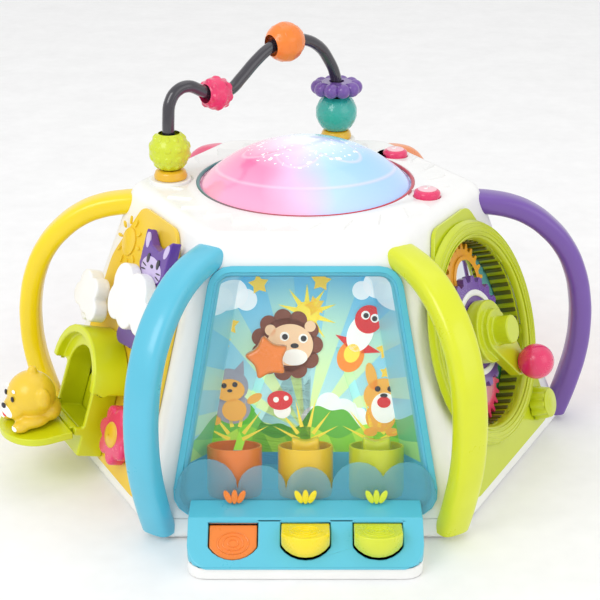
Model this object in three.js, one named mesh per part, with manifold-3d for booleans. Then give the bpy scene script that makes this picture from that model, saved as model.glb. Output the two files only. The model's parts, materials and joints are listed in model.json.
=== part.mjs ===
// Baby activity centre: a six-sided dome-topped "cube" with a play panel on every side, six grab
// handles and a bead wire on its deck. Millimetres, +Z up, origin on the floor under the middle.
// Each side panel is drawn in its side's own frame: x across the side, y up the slope, z outwards.
import * as THREE from "three";
import { mergeVertices } from "three/addons/utils/BufferGeometryUtils.js";
import Module from "manifold-3d";

const wasm = await Module();
wasm.setup();

// ---- Driving dimensions ----
const GAP = 0.3; // between pieces that touch
const BASE_CORNER = 190; // centre to a sharp base corner
const DECK_CORNER = BASE_CORNER - 70.228; // centre to where the same edge would reach the deck
const DECK_HEIGHT = 181;
const CORNER_TAPER = (BASE_CORNER - DECK_CORNER) / DECK_HEIGHT;
const WALL = 2.6;
const CORNER_FILLET = 18;
const CREST_FILLET = 11;
const PARTING_HEIGHT = 13.5; // where the upper shell meets the base
const FLOOR = 3;
const PANEL_THICKNESS = 3;

const DOME_RADIUS = 71.9;
const DOME_RISE = 30;
const DOME_WALL = 2.5;
const DOME_TRAVEL = 3;
const BUTTON_RADIUS = 8.8;
const BUTTON_TRAVEL = 2;
const WIRE_RADIUS = 4.2;
const COLLAR_RADIUS = 11;
const COLLAR_TOP = DECK_HEIGHT + 9;
const BOSS_RADIUS = 14;
const BOSS_TOP = DECK_HEIGHT + 2.5;

const HANDLE_WIDTH = 21;
const HANDLE_DEPTH = 15;

const WINDOW_TOP = 172;
const WINDOW_BOTTOM = 16;
const WINDOW_TOP_HALF = 58;
const CUP_RADIUS = 17.5;
const STAGE_DEPTH = 2 * CUP_RADIUS + 3;
const CUP_WALL = 1.4;
const CUP_SPACING = 45;
const WINDOW_BOTTOM_HALF = CUP_SPACING + CUP_RADIUS + 22.5;
const CUP_FLOOR = 25.5;
const CUP_RIM = 57;
const CUP_DEPTH_CENTRE = CUP_RADIUS + GAP + 2 - STAGE_DEPTH;
const STAR_RADIUS = 12.5;
const STAR_THICKNESS = 12;
const STAR_TRAVEL = 66;
const STAR_LEAN = 0.32; // sideways travel of the outer stars for each millimetre upwards

const TRAY_HALF_WIDTH = 71;
const TRAY_REACH = 41.45; // how far its front stands out from the foot of the side
const TRAY_TOP = 28;
const TRAY_SLOPE = 25; // from the front back to the crease
const TRAY_LIP = 8.3;
const KEY_SPACING = 43.5;
const KEY_WIDTH = 29;
const KEY_LENGTH = 24;
const KEY_STRAIGHT = 16;
const KEY_HEEL = 2.1; // from the axle to the back of a key
const KEY_SWING = 46; // degrees between pressed and released
const KEY_WEDGE = 38; // degrees of the wedge below a key's top
const KEY_AXLE_RADIUS = 1.5;

const HOUSE_MIDDLE = -17;
const HOUSE_HALF = 25;
const HOUSE_BOTTOM = 15;
const HOUSE_FRONT = 22;
const ROOF_HALF = 36;
const ROOF_RISE = 33;
const ROOF_EAVE = 64;
const ROOF_THICKNESS = 5.5;
const ROOF_FRONT = 28;
const DOOR_HALF = 21.5;
const DOOR_SILL = 33;
const DOOR_TOP = 83.5;
const TRAY_LENGTH = 43.5;
const FLOWER_RADIUS = 20;

const RING_HEIGHT = 103; // up the side to the middle of the gear window
const RING_OUTER = 75;
const RING_INNER = 62;
const WELL_DEPTH = 13;
const GEAR_TEETH = 22;
const PINION_TEETH = 8;
const TOOTH_MODULE = 2.27;
const FRONT_GEAR_RADIUS = 38;
const HUB_RADIUS = 21;
const CRANK_REACH = 37.5;
const CRANK_KNOB_RADIUS = 12;
const DIAL_RADIUS = 12.5;

// ---- Worked out from them ----
const COS30 = Math.cos(Math.PI / 6);
const DEGREE = Math.PI / 180;
const APOTHEM = BASE_CORNER * COS30;
const SLOPE = CORNER_TAPER * COS30;
const TILT = Math.atan(SLOPE);
const apothemAt = (z) => APOTHEM - SLOPE * z;
const TRAY_FRONT = APOTHEM + TRAY_REACH;
const TRAY_CREASE = TRAY_FRONT - TRAY_SLOPE;
const PANEL_TOP = GAP + PANEL_THICKNESS;
const SEAT = PANEL_TOP + GAP; // where a piece resting on a side panel starts

// ---- Solids ----
function solid(geometry) {
  const bare = geometry.clone();
  bare.deleteAttribute("normal");
  bare.deleteAttribute("uv");
  const merged = mergeVertices(bare, 1e-4);
  const kept = [];
  const index = merged.index.array;
  for (let i = 0; i < index.length; i += 3) {
    const [a, b, c] = [index[i], index[i + 1], index[i + 2]];
    if (a !== b && b !== c && c !== a) kept.push(a, b, c);
  }
  const vertProperties = new Float32Array(merged.attributes.position.array);
  const make = (triVerts) => new wasm.Manifold(new wasm.Mesh({ numProp: 3, vertProperties, triVerts }));
  const made = make(new Uint32Array(kept));
  return made.volume() < 0 ? make(new Uint32Array(kept.reverse())) : made;
}

function geometryOf(body) {
  const mesh = body.getMesh();
  const geometry = new THREE.BufferGeometry();
  geometry.setAttribute("position", new THREE.BufferAttribute(new Float32Array(mesh.vertProperties), 3));
  geometry.setIndex(new THREE.BufferAttribute(new Uint32Array(mesh.triVerts), 1));
  geometry.computeVertexNormals();
  return geometry;
}

const moved = (body, matrix) => solid(geometryOf(body).applyMatrix4(matrix));
const shifted = (body, x, y, z) => moved(body, new THREE.Matrix4().makeTranslation(x, y, z));
const joined = (...bodies) => bodies.reduce((all, body) => all.add(body));
const cut = (body, ...tools) => tools.reduce((left, tool) => left.subtract(tool), body);

// A box given by its lowest and highest corners.
function box(low, high) {
  const size = high.map((value, i) => value - low[i]);
  const middle = high.map((value, i) => (value + low[i]) / 2);
  return solid(new THREE.BoxGeometry(...size).translate(...middle));
}

// A round bar along z between two heights.
function bar(radius, low, high, x = 0, y = 0, sides = 20) {
  const geometry = new THREE.CylinderGeometry(radius, radius, high - low, sides);
  return solid(geometry.rotateX(Math.PI / 2).translate(x, y, (low + high) / 2));
}

// A ball, optionally stretched.
function ball(radius, x, y, z, scale = [1, 1, 1], sides = 10) {
  const geometry = new THREE.SphereGeometry(radius, sides, Math.round(sides * 0.6));
  return solid(geometry.scale(...scale).translate(x, y, z));
}

// A closed profile of [radius, z] points turned about z.
function turned(profile, sides = 24) {
  const points = [...profile, profile[0]].map(([r, z]) => new THREE.Vector2(r, z));
  return solid(new THREE.LatheGeometry(points, sides).rotateX(Math.PI / 2));
}

// An outline pushed along z between two heights.
function plate(shape, low, high, curveSegments = 6) {
  const settings = { depth: high - low, bevelEnabled: false, curveSegments };
  return solid(new THREE.ExtrudeGeometry(shape, settings).translate(0, 0, low));
}

const outline = (points) => new THREE.Shape(points.map(([x, y]) => new THREE.Vector2(x, y)));

// Rings of equally many points, skinned and closed at both ends.
function skinned(rings) {
  const count = rings[0].length;
  const positions = rings.flat().flatMap((p) => [p.x, p.y, p.z]);
  const index = [];
  for (let ring = 0; ring + 1 < rings.length; ring++) {
    for (let i = 0; i < count; i++) {
      const a = ring * count + i;
      const b = ring * count + ((i + 1) % count);
      index.push(a, b, b + count, a, b + count, a + count);
    }
  }
  const last = (rings.length - 1) * count;
  for (let i = 1; i + 1 < count; i++) {
    index.push(0, i + 1, i);
    index.push(last, last + i, last + i + 1);
  }
  const geometry = new THREE.BufferGeometry();
  geometry.setAttribute("position", new THREE.Float32BufferAttribute(positions, 3));
  geometry.setIndex(index);
  return solid(geometry);
}

// A corner-rounded polygon: each corner is [x, y, radius].
function rounded(corners, steps = 4) {
  const points = [];
  corners.forEach(([x, y, radius], i) => {
    const here = new THREE.Vector2(x, y);
    const before = corners[(i + corners.length - 1) % corners.length];
    const after = corners[(i + 1) % corners.length];
    const back = new THREE.Vector2(before[0], before[1]).sub(here).normalize();
    const ahead = new THREE.Vector2(after[0], after[1]).sub(here).normalize();
    const half = Math.acos(back.dot(ahead)) / 2;
    const middle = back.clone().add(ahead).normalize();
    const centre = here.clone().addScaledVector(middle, radius / Math.sin(half));
    const start = here.clone().addScaledVector(back, radius / Math.tan(half)).sub(centre);
    const sweep = Math.PI - 2 * half;
    const side = Math.sign(back.cross(ahead));
    for (let step = 0; step <= steps; step++) {
      const turn = start.clone().rotateAround(new THREE.Vector2(), (-side * sweep * step) / steps);
      points.push([centre.x + turn.x, centre.y + turn.y]);
    }
  });
  return points;
}

const ringAt = (points, z) => points.map(([x, y]) => new THREE.Vector3(x, y, z));

// A tube of elliptical-cornered section along a smooth curve through points.
function swept(points, section, steps) {
  const path = new THREE.CatmullRomCurve3(points.map((p) => new THREE.Vector3(...p)), false, "centripetal");
  return solid(new THREE.ExtrudeGeometry(section, { steps, extrudePath: path, bevelEnabled: false }));
}

function circleShape(radius, sides) {
  const points = [];
  for (let i = 0; i < sides; i++) {
    const turn = (i / sides) * 2 * Math.PI;
    points.push([radius * Math.cos(turn), radius * Math.sin(turn)]);
  }
  return outline(points);
}

// ---- Finishes ----
const finish = (color, roughness = 0.35, extra = {}) =>
  new THREE.MeshStandardMaterial({ color, roughness, metalness: 0, ...extra });
const WHITE = finish(0xf5f5f3, 0.4);
const BLUE = finish(0x5bc2d9);
const LIME = finish(0xcad61a);
const AMBER = finish(0xecc628);
const YELLOW = finish(0xf9dd00);
const ORANGE = finish(0xf28824);
const PINK = finish(0xe52c67);
const PURPLE = finish(0x7350a5);
const TEAL = finish(0x34b0a5);
const BOARD_GREEN = finish(0x2c7a4b, 0.6);
const DARK = finish(0x2d2a32, 0.3);
const STEEL = finish(0xb0b4b8, 0.3, { metalness: 1 });
const CLEAR = finish(0xdff3f8, 0.05, { transparent: true, opacity: 0.3 });
const TINTED = finish(0x82becd, 0.1, { transparent: true, opacity: 0.6 });

// ---- The assembly and its six sides ----
const cube = new THREE.Group();

function piece(group, name, body, material) {
  const mesh = new THREE.Mesh(geometryOf(body), material);
  mesh.name = name;
  group.add(mesh);
  return mesh;
}

// A group on one side: x across it, y up its slope from the floor, z straight out of it.
function sideGroup(azimuth) {
  const turn = azimuth * DEGREE;
  const across = new THREE.Vector3(-Math.sin(turn), Math.cos(turn), 0);
  const outward = new THREE.Vector3(Math.cos(turn), Math.sin(turn), 0);
  const up = outward.clone().multiplyScalar(-SLOPE).add(new THREE.Vector3(0, 0, 1)).normalize();
  const normal = across.clone().cross(up);
  const group = new THREE.Group();
  const matrix = new THREE.Matrix4().makeBasis(across, up, normal);
  matrix.setPosition(outward.multiplyScalar(APOTHEM));
  group.applyMatrix4(matrix);
  group.updateMatrix();
  cube.add(group);
  return group;
}

const front = sideGroup(-90);
const gearSide = sideGroup(-30);
const rightRear = sideGroup(30);
const rear = sideGroup(90);
const leftRear = sideGroup(150);
const houseSide = sideGroup(210);

// ---- Body shells ----
function hexRing(apothem, fillet, z) {
  const points = [];
  const cornerSteps = 3;
  const reach = (apothem - fillet) / COS30;
  for (let corner = 0; corner < 6; corner++) {
    const around = (corner * Math.PI) / 3;
    for (let i = 0; i <= cornerSteps; i++) {
      const turn = around + ((i / cornerSteps - 0.5) * Math.PI) / 3;
      const x = reach * Math.cos(around) + fillet * Math.cos(turn);
      const y = reach * Math.sin(around) + fillet * Math.sin(turn);
      points.push(new THREE.Vector3(x, y, z));
    }
  }
  return points;
}

// The sloping body with its rounded crest, moved in by an inset, from a height up to the deck.
function bodySolid(inset, bottom) {
  const crestSteps = 3;
  const crest = CREST_FILLET - inset;
  const start = APOTHEM - inset / Math.cos(TILT);
  const centreZ = DECK_HEIGHT - CREST_FILLET;
  const centreA = start - SLOPE * centreZ - crest / Math.cos(TILT);
  const fillet = CORNER_FILLET - inset;
  const rings = [hexRing(start - SLOPE * bottom, fillet, bottom)];
  for (let i = 0; i <= crestSteps; i++) {
    const lean = TILT + ((Math.PI / 2 - TILT) * i) / crestSteps;
    const drop = crest * (Math.cos(TILT) - Math.cos(lean));
    rings.push(hexRing(centreA + crest * Math.cos(lean), fillet - drop, centreZ + crest * Math.sin(lean)));
  }
  return skinned(rings);
}

const wirePosts = [[-92, 0], [23, 97]];
const buttonPlaces = { melody_button_front: [80.5, -31], melody_button_rear: [65, 59] };
const LIGHT_BOARD_HEIGHT = DECK_HEIGHT - 23;
const LIGHT_BOARD_RADIUS = 84;
const BOARD_THICKNESS = 1.6;
const POST_RADIUS = 3;

function windowOutline(inset, insetEnds = inset) {
  const steep = (WINDOW_BOTTOM_HALF - WINDOW_TOP_HALF) / (WINDOW_TOP - WINDOW_BOTTOM);
  const top = WINDOW_TOP - insetEnds;
  const bottom = WINDOW_BOTTOM + insetEnds;
  const topHalf = WINDOW_TOP_HALF + steep * insetEnds - inset;
  const bottomHalf = WINDOW_BOTTOM_HALF - steep * insetEnds - inset;
  const radius = 15 - Math.min(inset, 8);
  const corners = [[-bottomHalf, bottom], [bottomHalf, bottom], [topHalf, top], [-topHalf, top]];
  return rounded(corners.map(([x, y]) => [x, y, radius]));
}

// Arched play-panel outline shared by the other five sides.
const PANEL = { bottom: 12, bottomHalf: 68, shoulder: 140, shoulderHalf: 53, top: 183, topHalf: 26 };
function panelOutline() {
  const { bottom, bottomHalf, shoulder, shoulderHalf, top, topHalf } = PANEL;
  return rounded([
    [-bottomHalf, bottom, 9], [bottomHalf, bottom, 9], [shoulderHalf, shoulder, 30],
    [topHalf, top, 12], [-topHalf, top, 12], [-shoulderHalf, shoulder, 30],
  ]);
}

function doorway(clearance, low, high) {
  const half = DOOR_HALF + clearance;
  const spring = DOOR_TOP - DOOR_HALF;
  const shape = new THREE.Shape();
  shape.moveTo(HOUSE_MIDDLE - half, DOOR_SILL - clearance);
  shape.lineTo(HOUSE_MIDDLE + half, DOOR_SILL - clearance);
  shape.lineTo(HOUSE_MIDDLE + half, spring);
  shape.absarc(HOUSE_MIDDLE, spring, half, 0, Math.PI, false);
  return plate(shape, low, high, 10);
}

const DRUM_RADIUS = 24;
const DRUM_HALF = 30;
const DRUM_HEIGHT = 84;
const DRUM_CENTRE = -6;
const SLIDER_BOTTOM = 50;
const SLIDER_TOP = 130;
const SLIDER_HALF = 5;
const TURN_DIAL_HEIGHT = 92;
const drumWindow = (clearance) =>
  rounded([
    [-DRUM_HALF - clearance, DRUM_HEIGHT - DRUM_RADIUS - clearance, 3],
    [DRUM_HALF + clearance, DRUM_HEIGHT - DRUM_RADIUS - clearance, 3],
    [DRUM_HALF + clearance, DRUM_HEIGHT + DRUM_RADIUS + clearance, 3],
    [-DRUM_HALF - clearance, DRUM_HEIGHT + DRUM_RADIUS + clearance, 3],
  ], 2);

const sunk = -WALL - 3; // cutters reach from here through the side wall
const wellOuter = RING_INNER + WALL;
const chimneyPlace = [-34, 114];
// The kennel's opening in the body, covered by its panel up to the doorway.
const houseWindow = [[-54, 18, 8], [34, 18, 8], [34, 100, 8], [-54, 100, 8]];
const cuts = [
  [front, plate(outline(windowOutline(1.6)), sunk, GAP + 1)],
  [gearSide, bar(wellOuter + GAP, sunk, GAP + 1, 0, RING_HEIGHT, 36)],
  [houseSide, plate(outline(rounded(houseWindow)), sunk, GAP + 1)],
  [houseSide, bar(5.5, sunk, GAP + 1, ...chimneyPlace)],
  [leftRear, plate(outline(drumWindow(8)), sunk, GAP + 1)],
  [rear, box([-SLIDER_HALF, SLIDER_BOTTOM, sunk], [SLIDER_HALF, SLIDER_TOP, GAP + 1])],
];
let upperShell = bodySolid(0, PARTING_HEIGHT);
const deckPrism = skinned([DECK_HEIGHT - CREST_FILLET, BOSS_TOP + 1].map((z) =>
  hexRing(apothemAt(DECK_HEIGHT) - 0.5, CORNER_FILLET - WALL, z)));
for (const [x, y] of wirePosts) {
  const boss = bar(BOSS_RADIUS, DECK_HEIGHT - CREST_FILLET, BOSS_TOP, x, y);
  upperShell = upperShell.add(boss.intersect(deckPrism));
}
upperShell = upperShell.subtract(bodySolid(WALL, PARTING_HEIGHT - 5));
const boardPosts = [90, 210, 330].map((azimuth) => {
  const reach = LIGHT_BOARD_RADIUS - POST_RADIUS - 2;
  return [reach * Math.cos(azimuth * DEGREE), reach * Math.sin(azimuth * DEGREE)];
});
for (const [x, y] of boardPosts) {
  const low = LIGHT_BOARD_HEIGHT + BOARD_THICKNESS + GAP;
  upperShell = upperShell.add(bar(POST_RADIUS, low, DECK_HEIGHT - 1, x, y, 10));
}
upperShell = cut(
  upperShell,
  bar(DOME_RADIUS + GAP, DECK_HEIGHT - 8, DECK_HEIGHT + 5, 0, 0, 32),
  ...wirePosts.map(([x, y]) => bar(WIRE_RADIUS + 0.4, DECK_HEIGHT - 21, BOSS_TOP + 5, x, y, 16)),
  ...Object.values(buttonPlaces).map(([x, y]) =>
    bar(BUTTON_RADIUS + 0.4, DECK_HEIGHT - 11, DECK_HEIGHT + 5, x, y, 20)),
  ...cuts.map(([group, tool]) => moved(tool, group.matrix)),
);
piece(cube, "upper_shell", upperShell, WHITE);

const BASE_EDGE = 6;
const BATTERY = { x: 34, low: 46, high: 104, height: 22 };
const SPEAKER = { x: -70, y: 10, radius: 24, height: 12 };
const CIRCUIT = { x: 42, low: -52, high: 34, height: 42 };
const baseTop = PARTING_HEIGHT - GAP;
const baseRings = [];
for (let i = 0; i <= 3; i++) {
  const lean = (i / 3) * (Math.PI / 2);
  const z = BASE_EDGE * (1 - Math.cos(lean));
  const inset = BASE_EDGE * (1 - Math.sin(lean));
  baseRings.push(hexRing(apothemAt(z) - inset, CORNER_FILLET - inset, z));
}
baseRings.push(hexRing(apothemAt(baseTop), CORNER_FILLET, baseTop));
const innerWall = WALL / Math.cos(TILT);
const traySlab = (half, rearY, frontY, low, high, radius) =>
  plate(outline(rounded([
    [-half, -frontY, radius], [half, -frontY, radius], [half, -rearY, 1], [-half, -rearY, 1],
  ])), low, high);
let baseShell = skinned(baseRings).add(traySlab(TRAY_HALF_WIDTH, 140, TRAY_FRONT - 1, 0, TRAY_LIP - GAP, 11));
baseShell = cut(
  baseShell,
  skinned([
    hexRing(apothemAt(FLOOR) - innerWall - 2, CORNER_FILLET - WALL - 2, FLOOR),
    hexRing(apothemAt(BASE_EDGE) - innerWall, CORNER_FILLET - WALL, BASE_EDGE),
    hexRing(apothemAt(baseTop + 2) - innerWall, CORNER_FILLET - WALL, baseTop + 2),
  ]),
  traySlab(TRAY_HALF_WIDTH - 3, APOTHEM + 3, TRAY_FRONT - 4, FLOOR - 1.5, TRAY_LIP + 1, 8),
  box([-BATTERY.x + 2, BATTERY.low + 2, -1], [BATTERY.x - 2, BATTERY.high - 2, FLOOR + 1]),
  ...[-12, -4, 4, 12].map((y) =>
    box([SPEAKER.x - 14, SPEAKER.y + y - 1.2, -1], [SPEAKER.x + 14, SPEAKER.y + y + 1.2, FLOOR + 1])),
);
for (const x of [-CIRCUIT.x + 6, CIRCUIT.x - 6]) {
  for (const y of [CIRCUIT.low + 6, CIRCUIT.high - 6]) {
    baseShell = baseShell.add(bar(POST_RADIUS, FLOOR - 1, CIRCUIT.height - GAP, x, y, 8));
  }
}
piece(cube, "base_shell", baseShell, WHITE);

// ---- Works inside the base ----
piece(cube, "battery_door", joined(
  box([-BATTERY.x + 2.4, BATTERY.low + 2.4, 0.3], [BATTERY.x - 2.4, BATTERY.high - 2.4, FLOOR - 0.5]),
  bar(4, 0.8, FLOOR + 1.5, 0, BATTERY.high - 8, 12),
), WHITE);
const batteryTray = box([-BATTERY.x, BATTERY.low, FLOOR + GAP], [BATTERY.x, BATTERY.high, BATTERY.height]);
piece(cube, "battery_box", cut(
  batteryTray,
  box(
    [-BATTERY.x + 1.8, BATTERY.low + 1.8, FLOOR - 1],
    [BATTERY.x - 1.8, BATTERY.high - 1.8, BATTERY.height - 1.8],
  ),
), DARK);
piece(cube, "circuit_board", joined(
  box([-CIRCUIT.x, CIRCUIT.low, CIRCUIT.height], [CIRCUIT.x, CIRCUIT.high, CIRCUIT.height + BOARD_THICKNESS]),
  box([-10, -20, CIRCUIT.height], [10, 0, CIRCUIT.height + 5]),
  box([-30, 10, CIRCUIT.height], [-18, 18, CIRCUIT.height + 8]),
), BOARD_GREEN);
piece(cube, "speaker", shifted(turned([
  [0, FLOOR + GAP], [SPEAKER.radius, FLOOR + GAP], [SPEAKER.radius, FLOOR + 4],
  [14, FLOOR + SPEAKER.height - 4], [14, FLOOR + SPEAKER.height], [0, FLOOR + SPEAKER.height],
], 18), SPEAKER.x, SPEAKER.y, 0), STEEL);
piece(cube, "light_board", bar(
  LIGHT_BOARD_RADIUS, LIGHT_BOARD_HEIGHT, LIGHT_BOARD_HEIGHT + BOARD_THICKNESS, 0, 0, 28,
), BOARD_GREEN);

// ---- Light-up dome and melody buttons ----
const domeFoot = DECK_HEIGHT - 0.5;
function capArc(radius, rise, steps) {
  const sphere = (radius ** 2 + rise ** 2) / (2 * rise);
  const points = [];
  for (let i = 0; i <= steps; i++) {
    const turn = Math.asin(radius / sphere) * (1 - i / steps);
    points.push([sphere * Math.sin(turn), domeFoot + rise - sphere + sphere * Math.cos(turn)]);
  }
  return points;
}
const flangeTop = DECK_HEIGHT - WALL - GAP;
piece(cube, "dome", turned([
  ...capArc(DOME_RADIUS, DOME_RISE, 5),
  ...capArc(DOME_RADIUS - DOME_WALL, DOME_RISE - DOME_WALL, 4).reverse(),
  [DOME_RADIUS - DOME_WALL, flangeTop - 2.4],
  [DOME_RADIUS + 2.3, flangeTop - 2.4],
  [DOME_RADIUS + 2.3, flangeTop],
  [DOME_RADIUS, flangeTop],
], 32), CLEAR);
for (const [name, [x, y]] of Object.entries(buttonPlaces)) {
  piece(cube, name, shifted(turned([
    [0, flangeTop - 1.8], [BUTTON_RADIUS + 1.6, flangeTop - 1.8], [BUTTON_RADIUS + 1.6, flangeTop],
    [BUTTON_RADIUS, flangeTop], [BUTTON_RADIUS, DECK_HEIGHT + 3],
    [BUTTON_RADIUS - 2, DECK_HEIGHT + 4.6], [0, DECK_HEIGHT + 5.4],
  ], 20), x, y, 0), PINK);
}

// ---- Bead wire ----
// x, y and height above the deck.
const WIRE_POINTS = [
  [-92, 0, -10], [-92, 0, 19], [-92, 0, 44], [-90.5, 2, 55], [-86, 5.5, 61.5], [-79, 10, 63.5],
  [-71, 17, 59], [-61.5, 26, 53.5], [-52, 34.5, 55], [-44, 42, 62], [-35, 50, 71], [-25, 58.5, 78.5],
  [-14.5, 67, 82], [-3, 76, 81], [9, 86, 74], [17, 93, 62], [22, 96.5, 49], [23, 97, 39], [23, 97, 14],
  [23, 97, -10],
];
const wireLine = WIRE_POINTS.map(([x, y, high]) => [x, y, DECK_HEIGHT + high]);
piece(cube, "bead_wire", swept(wireLine, circleShape(WIRE_RADIUS, 7), 44), DARK);
["wire_collar_left", "wire_collar_rear"].forEach((name, i) => {
  piece(cube, name, shifted(turned([
    [WIRE_RADIUS + 0.4, BOSS_TOP + GAP], [COLLAR_RADIUS, BOSS_TOP + GAP], [COLLAR_RADIUS, COLLAR_TOP - 2],
    [COLLAR_RADIUS - 2.5, COLLAR_TOP], [WIRE_RADIUS + 0.4, COLLAR_TOP],
  ], 18), ...wirePosts[i], 0), AMBER);
});

// A bead: a ball cut flat at both ends, with its bore along z.
function bead(radius, halfLength, bore) {
  const steps = 4;
  const from = Math.asin(halfLength / radius);
  const points = [];
  for (let i = 0; i <= steps; i++) {
    const turn = -from + (2 * from * i) / steps;
    points.push([radius * Math.cos(turn), radius * Math.sin(turn)]);
  }
  return turned([...points, [bore, halfLength], [bore, -halfLength]], 14);
}
// A grouped bead centred at a point with its bore along a direction.
function threaded(name, body, centre, along, material) {
  const group = new THREE.Group();
  group.position.set(...centre);
  group.quaternion.setFromUnitVectors(new THREE.Vector3(0, 0, 1), new THREE.Vector3(...along).normalize());
  cube.add(group);
  piece(group, name, body, material);
}
const straightBore = WIRE_RADIUS + 0.6;
const bentBore = WIRE_RADIUS + 2.3;
const LIME_BEAD = { radius: 15.5, half: 12.6 };
const TEAL_BEAD = { radius: 16.5, half: 12.6 };
const FLOWER_BEAD = { petals: 9, radius: 19.5, half: 6 };
const limeCentre = COLLAR_TOP + GAP + LIME_BEAD.half;
const tealCentre = COLLAR_TOP + GAP + TEAL_BEAD.half;
const flowerCentre = tealCentre + TEAL_BEAD.half + GAP + FLOWER_BEAD.half;
threaded("bead_lime", bead(LIME_BEAD.radius, LIME_BEAD.half, straightBore),
  [...wirePosts[0], limeCentre], [0, 0, 1], LIME);
threaded("bead_teal", bead(TEAL_BEAD.radius, TEAL_BEAD.half, straightBore),
  [...wirePosts[1], tealCentre], [0, 0, 1], TEAL);
threaded("bead_pink", bead(13, 10, bentBore), [-61.5, 26, DECK_HEIGHT + 54.6], [19, 17.5, -3.5], PINK);
threaded("bead_orange", bead(15, 12.5, bentBore), [-14.5, 67, DECK_HEIGHT + 81], [22.5, 17.5, 2.5], ORANGE);

// An outline whose radius swells at each petal.
function petalOutline(radius, petals, depth, pointsEach = 4) {
  const points = [];
  for (let i = 0; i < petals * pointsEach; i++) {
    const turn = (i / (petals * pointsEach)) * 2 * Math.PI;
    const swell = Math.abs(Math.sin((petals * turn) / 2));
    const reach = radius - depth * (1 - swell);
    points.push([reach * Math.cos(turn), reach * Math.sin(turn)]);
  }
  return outline(points);
}
threaded("bead_flower", cut(
  plate(petalOutline(FLOWER_BEAD.radius, FLOWER_BEAD.petals, 3), -FLOWER_BEAD.half, FLOWER_BEAD.half),
  bar(straightBore + 0.6, -20, 20, 0, 0, 16),
), [...wirePosts[1], flowerCentre], [0, 0, 1], PURPLE);

// ---- Six grab handles, each in the plane of a corner ----
// How far a handle's middle line stands out from its corner edge, and at what height.
const HANDLE_LINE = [
  [-11.2, 167], [0.4, 166], [15.2, 163], [26.1, 157.5], [35.4, 148], [42.2, 134.5], [44.4, 117],
  [41.7, 96], [35, 74], [25.6, 53], [12.5, 31], [1.8, 15], [-7.8, 3],
];
function handle() {
  const [w, d, r] = [HANDLE_WIDTH / 2, HANDLE_DEPTH / 2, 5];
  const section = outline(rounded([[-w, -d, r], [w, -d, r], [w, d, r], [-w, d, r]], 1));
  const line = HANDLE_LINE.map(([out, z]) => [BASE_CORNER - CORNER_TAPER * z + out, 0, z]);
  const body = swept(line, section, 18);
  return cut(body, bodySolid(-GAP, -8), box([100, -30, -20], [230, 30, 5]));
}
const handleBody = handle();
const handles = {
  handle_right: [0, PURPLE],
  handle_rear_right: [60, ORANGE],
  handle_rear_left: [120, PINK],
  handle_left: [180, YELLOW],
  handle_front_left: [240, BLUE],
  handle_front_right: [300, LIME],
};
for (const [name, [azimuth, material]] of Object.entries(handles)) {
  piece(cube, name, handleBody, material).rotation.z = azimuth * DEGREE;
}

// ---- Front side: stage behind a window, with cups and jumping stars ----
const starPlaces = [
  { name: "orange", across: -CUP_SPACING, lean: STAR_LEAN, up: true, material: ORANGE },
  { name: "yellow", across: 0, lean: 0, up: false, material: YELLOW },
  { name: "lime", across: CUP_SPACING, lean: -STAR_LEAN, up: false, material: LIME },
];
const STAR_LOW = 47;
const STEM_HALF = 1.8;
function starTrack({ across, lean }, low, high) {
  const top = STAR_LOW + STAR_TRAVEL;
  const half = STEM_HALF + 1;
  const sideways = (y) => across + lean * (y - STAR_LOW);
  const [start, end] = [STAR_LOW - 6, top + 4];
  return plate(outline([
    [sideways(start) - half, start], [sideways(start) + half, start],
    [sideways(end) + half, end], [sideways(end) - half, end],
  ]), low, high);
}
const rim = { edge: 4, ledge: 6, front: 2.8 };
const stageBody = joined(
  skinned([ringAt(windowOutline(14, 4), -STAGE_DEPTH), ringAt(windowOutline(2), GAP)]),
  plate(outline(windowOutline(0)), GAP, rim.front),
);
piece(front, "stage_back", cut(
  stageBody,
  skinned([ringAt(windowOutline(18, 8), -STAGE_DEPTH + 2), ringAt(windowOutline(rim.ledge), 0.5)]),
  skinned([ringAt(windowOutline(rim.ledge), 0.4), ringAt(windowOutline(rim.ledge), 1)]),
  plate(outline(windowOutline(rim.edge)), 0.6, rim.front + 1),
  ...starPlaces.map((place) => starTrack(place, -STAGE_DEPTH - 2, -STAGE_DEPTH + 4)),
), BLUE);
piece(front, "stage_window", plate(outline(windowOutline(rim.edge + GAP)), 0.6 + GAP, rim.front), CLEAR);
const POND_TOP = 43;
function pondOutline() {
  const reach = 80;
  const lobes = [[-61, 19], [-27, 15], [2, 14], [33, 17], [63, 17]];
  const water = POND_TOP - 9;
  let shape = plate(outline([[-reach, 30], [reach, 30], [reach + 1, water], [-reach - 1, water]]), 0, 1);
  for (const [x, radius] of lobes) shape = shape.add(bar(radius, 0, 1, x, water, 20));
  return shape;
}
const pondLow = rim.front + GAP;
const pondSlab = (low, high) => moved(pondOutline(), new THREE.Matrix4().makeScale(1, 1, high - low)
  .setPosition(0, 0, low));
piece(front, "pond_cover", pondSlab(pondLow, pondLow + 2)
  .add(plate(outline(windowOutline(1)), pondLow, pondLow + 2))
  .intersect(plate(outline(windowOutline(1)), pondLow - 1, pondLow + 3))
  .subtract(box([-120, POND_TOP - 9.01, pondLow - 1], [120, 300, pondLow + 4])
    .subtract(pondSlab(pondLow - 2, pondLow + 5))), TINTED);

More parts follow.
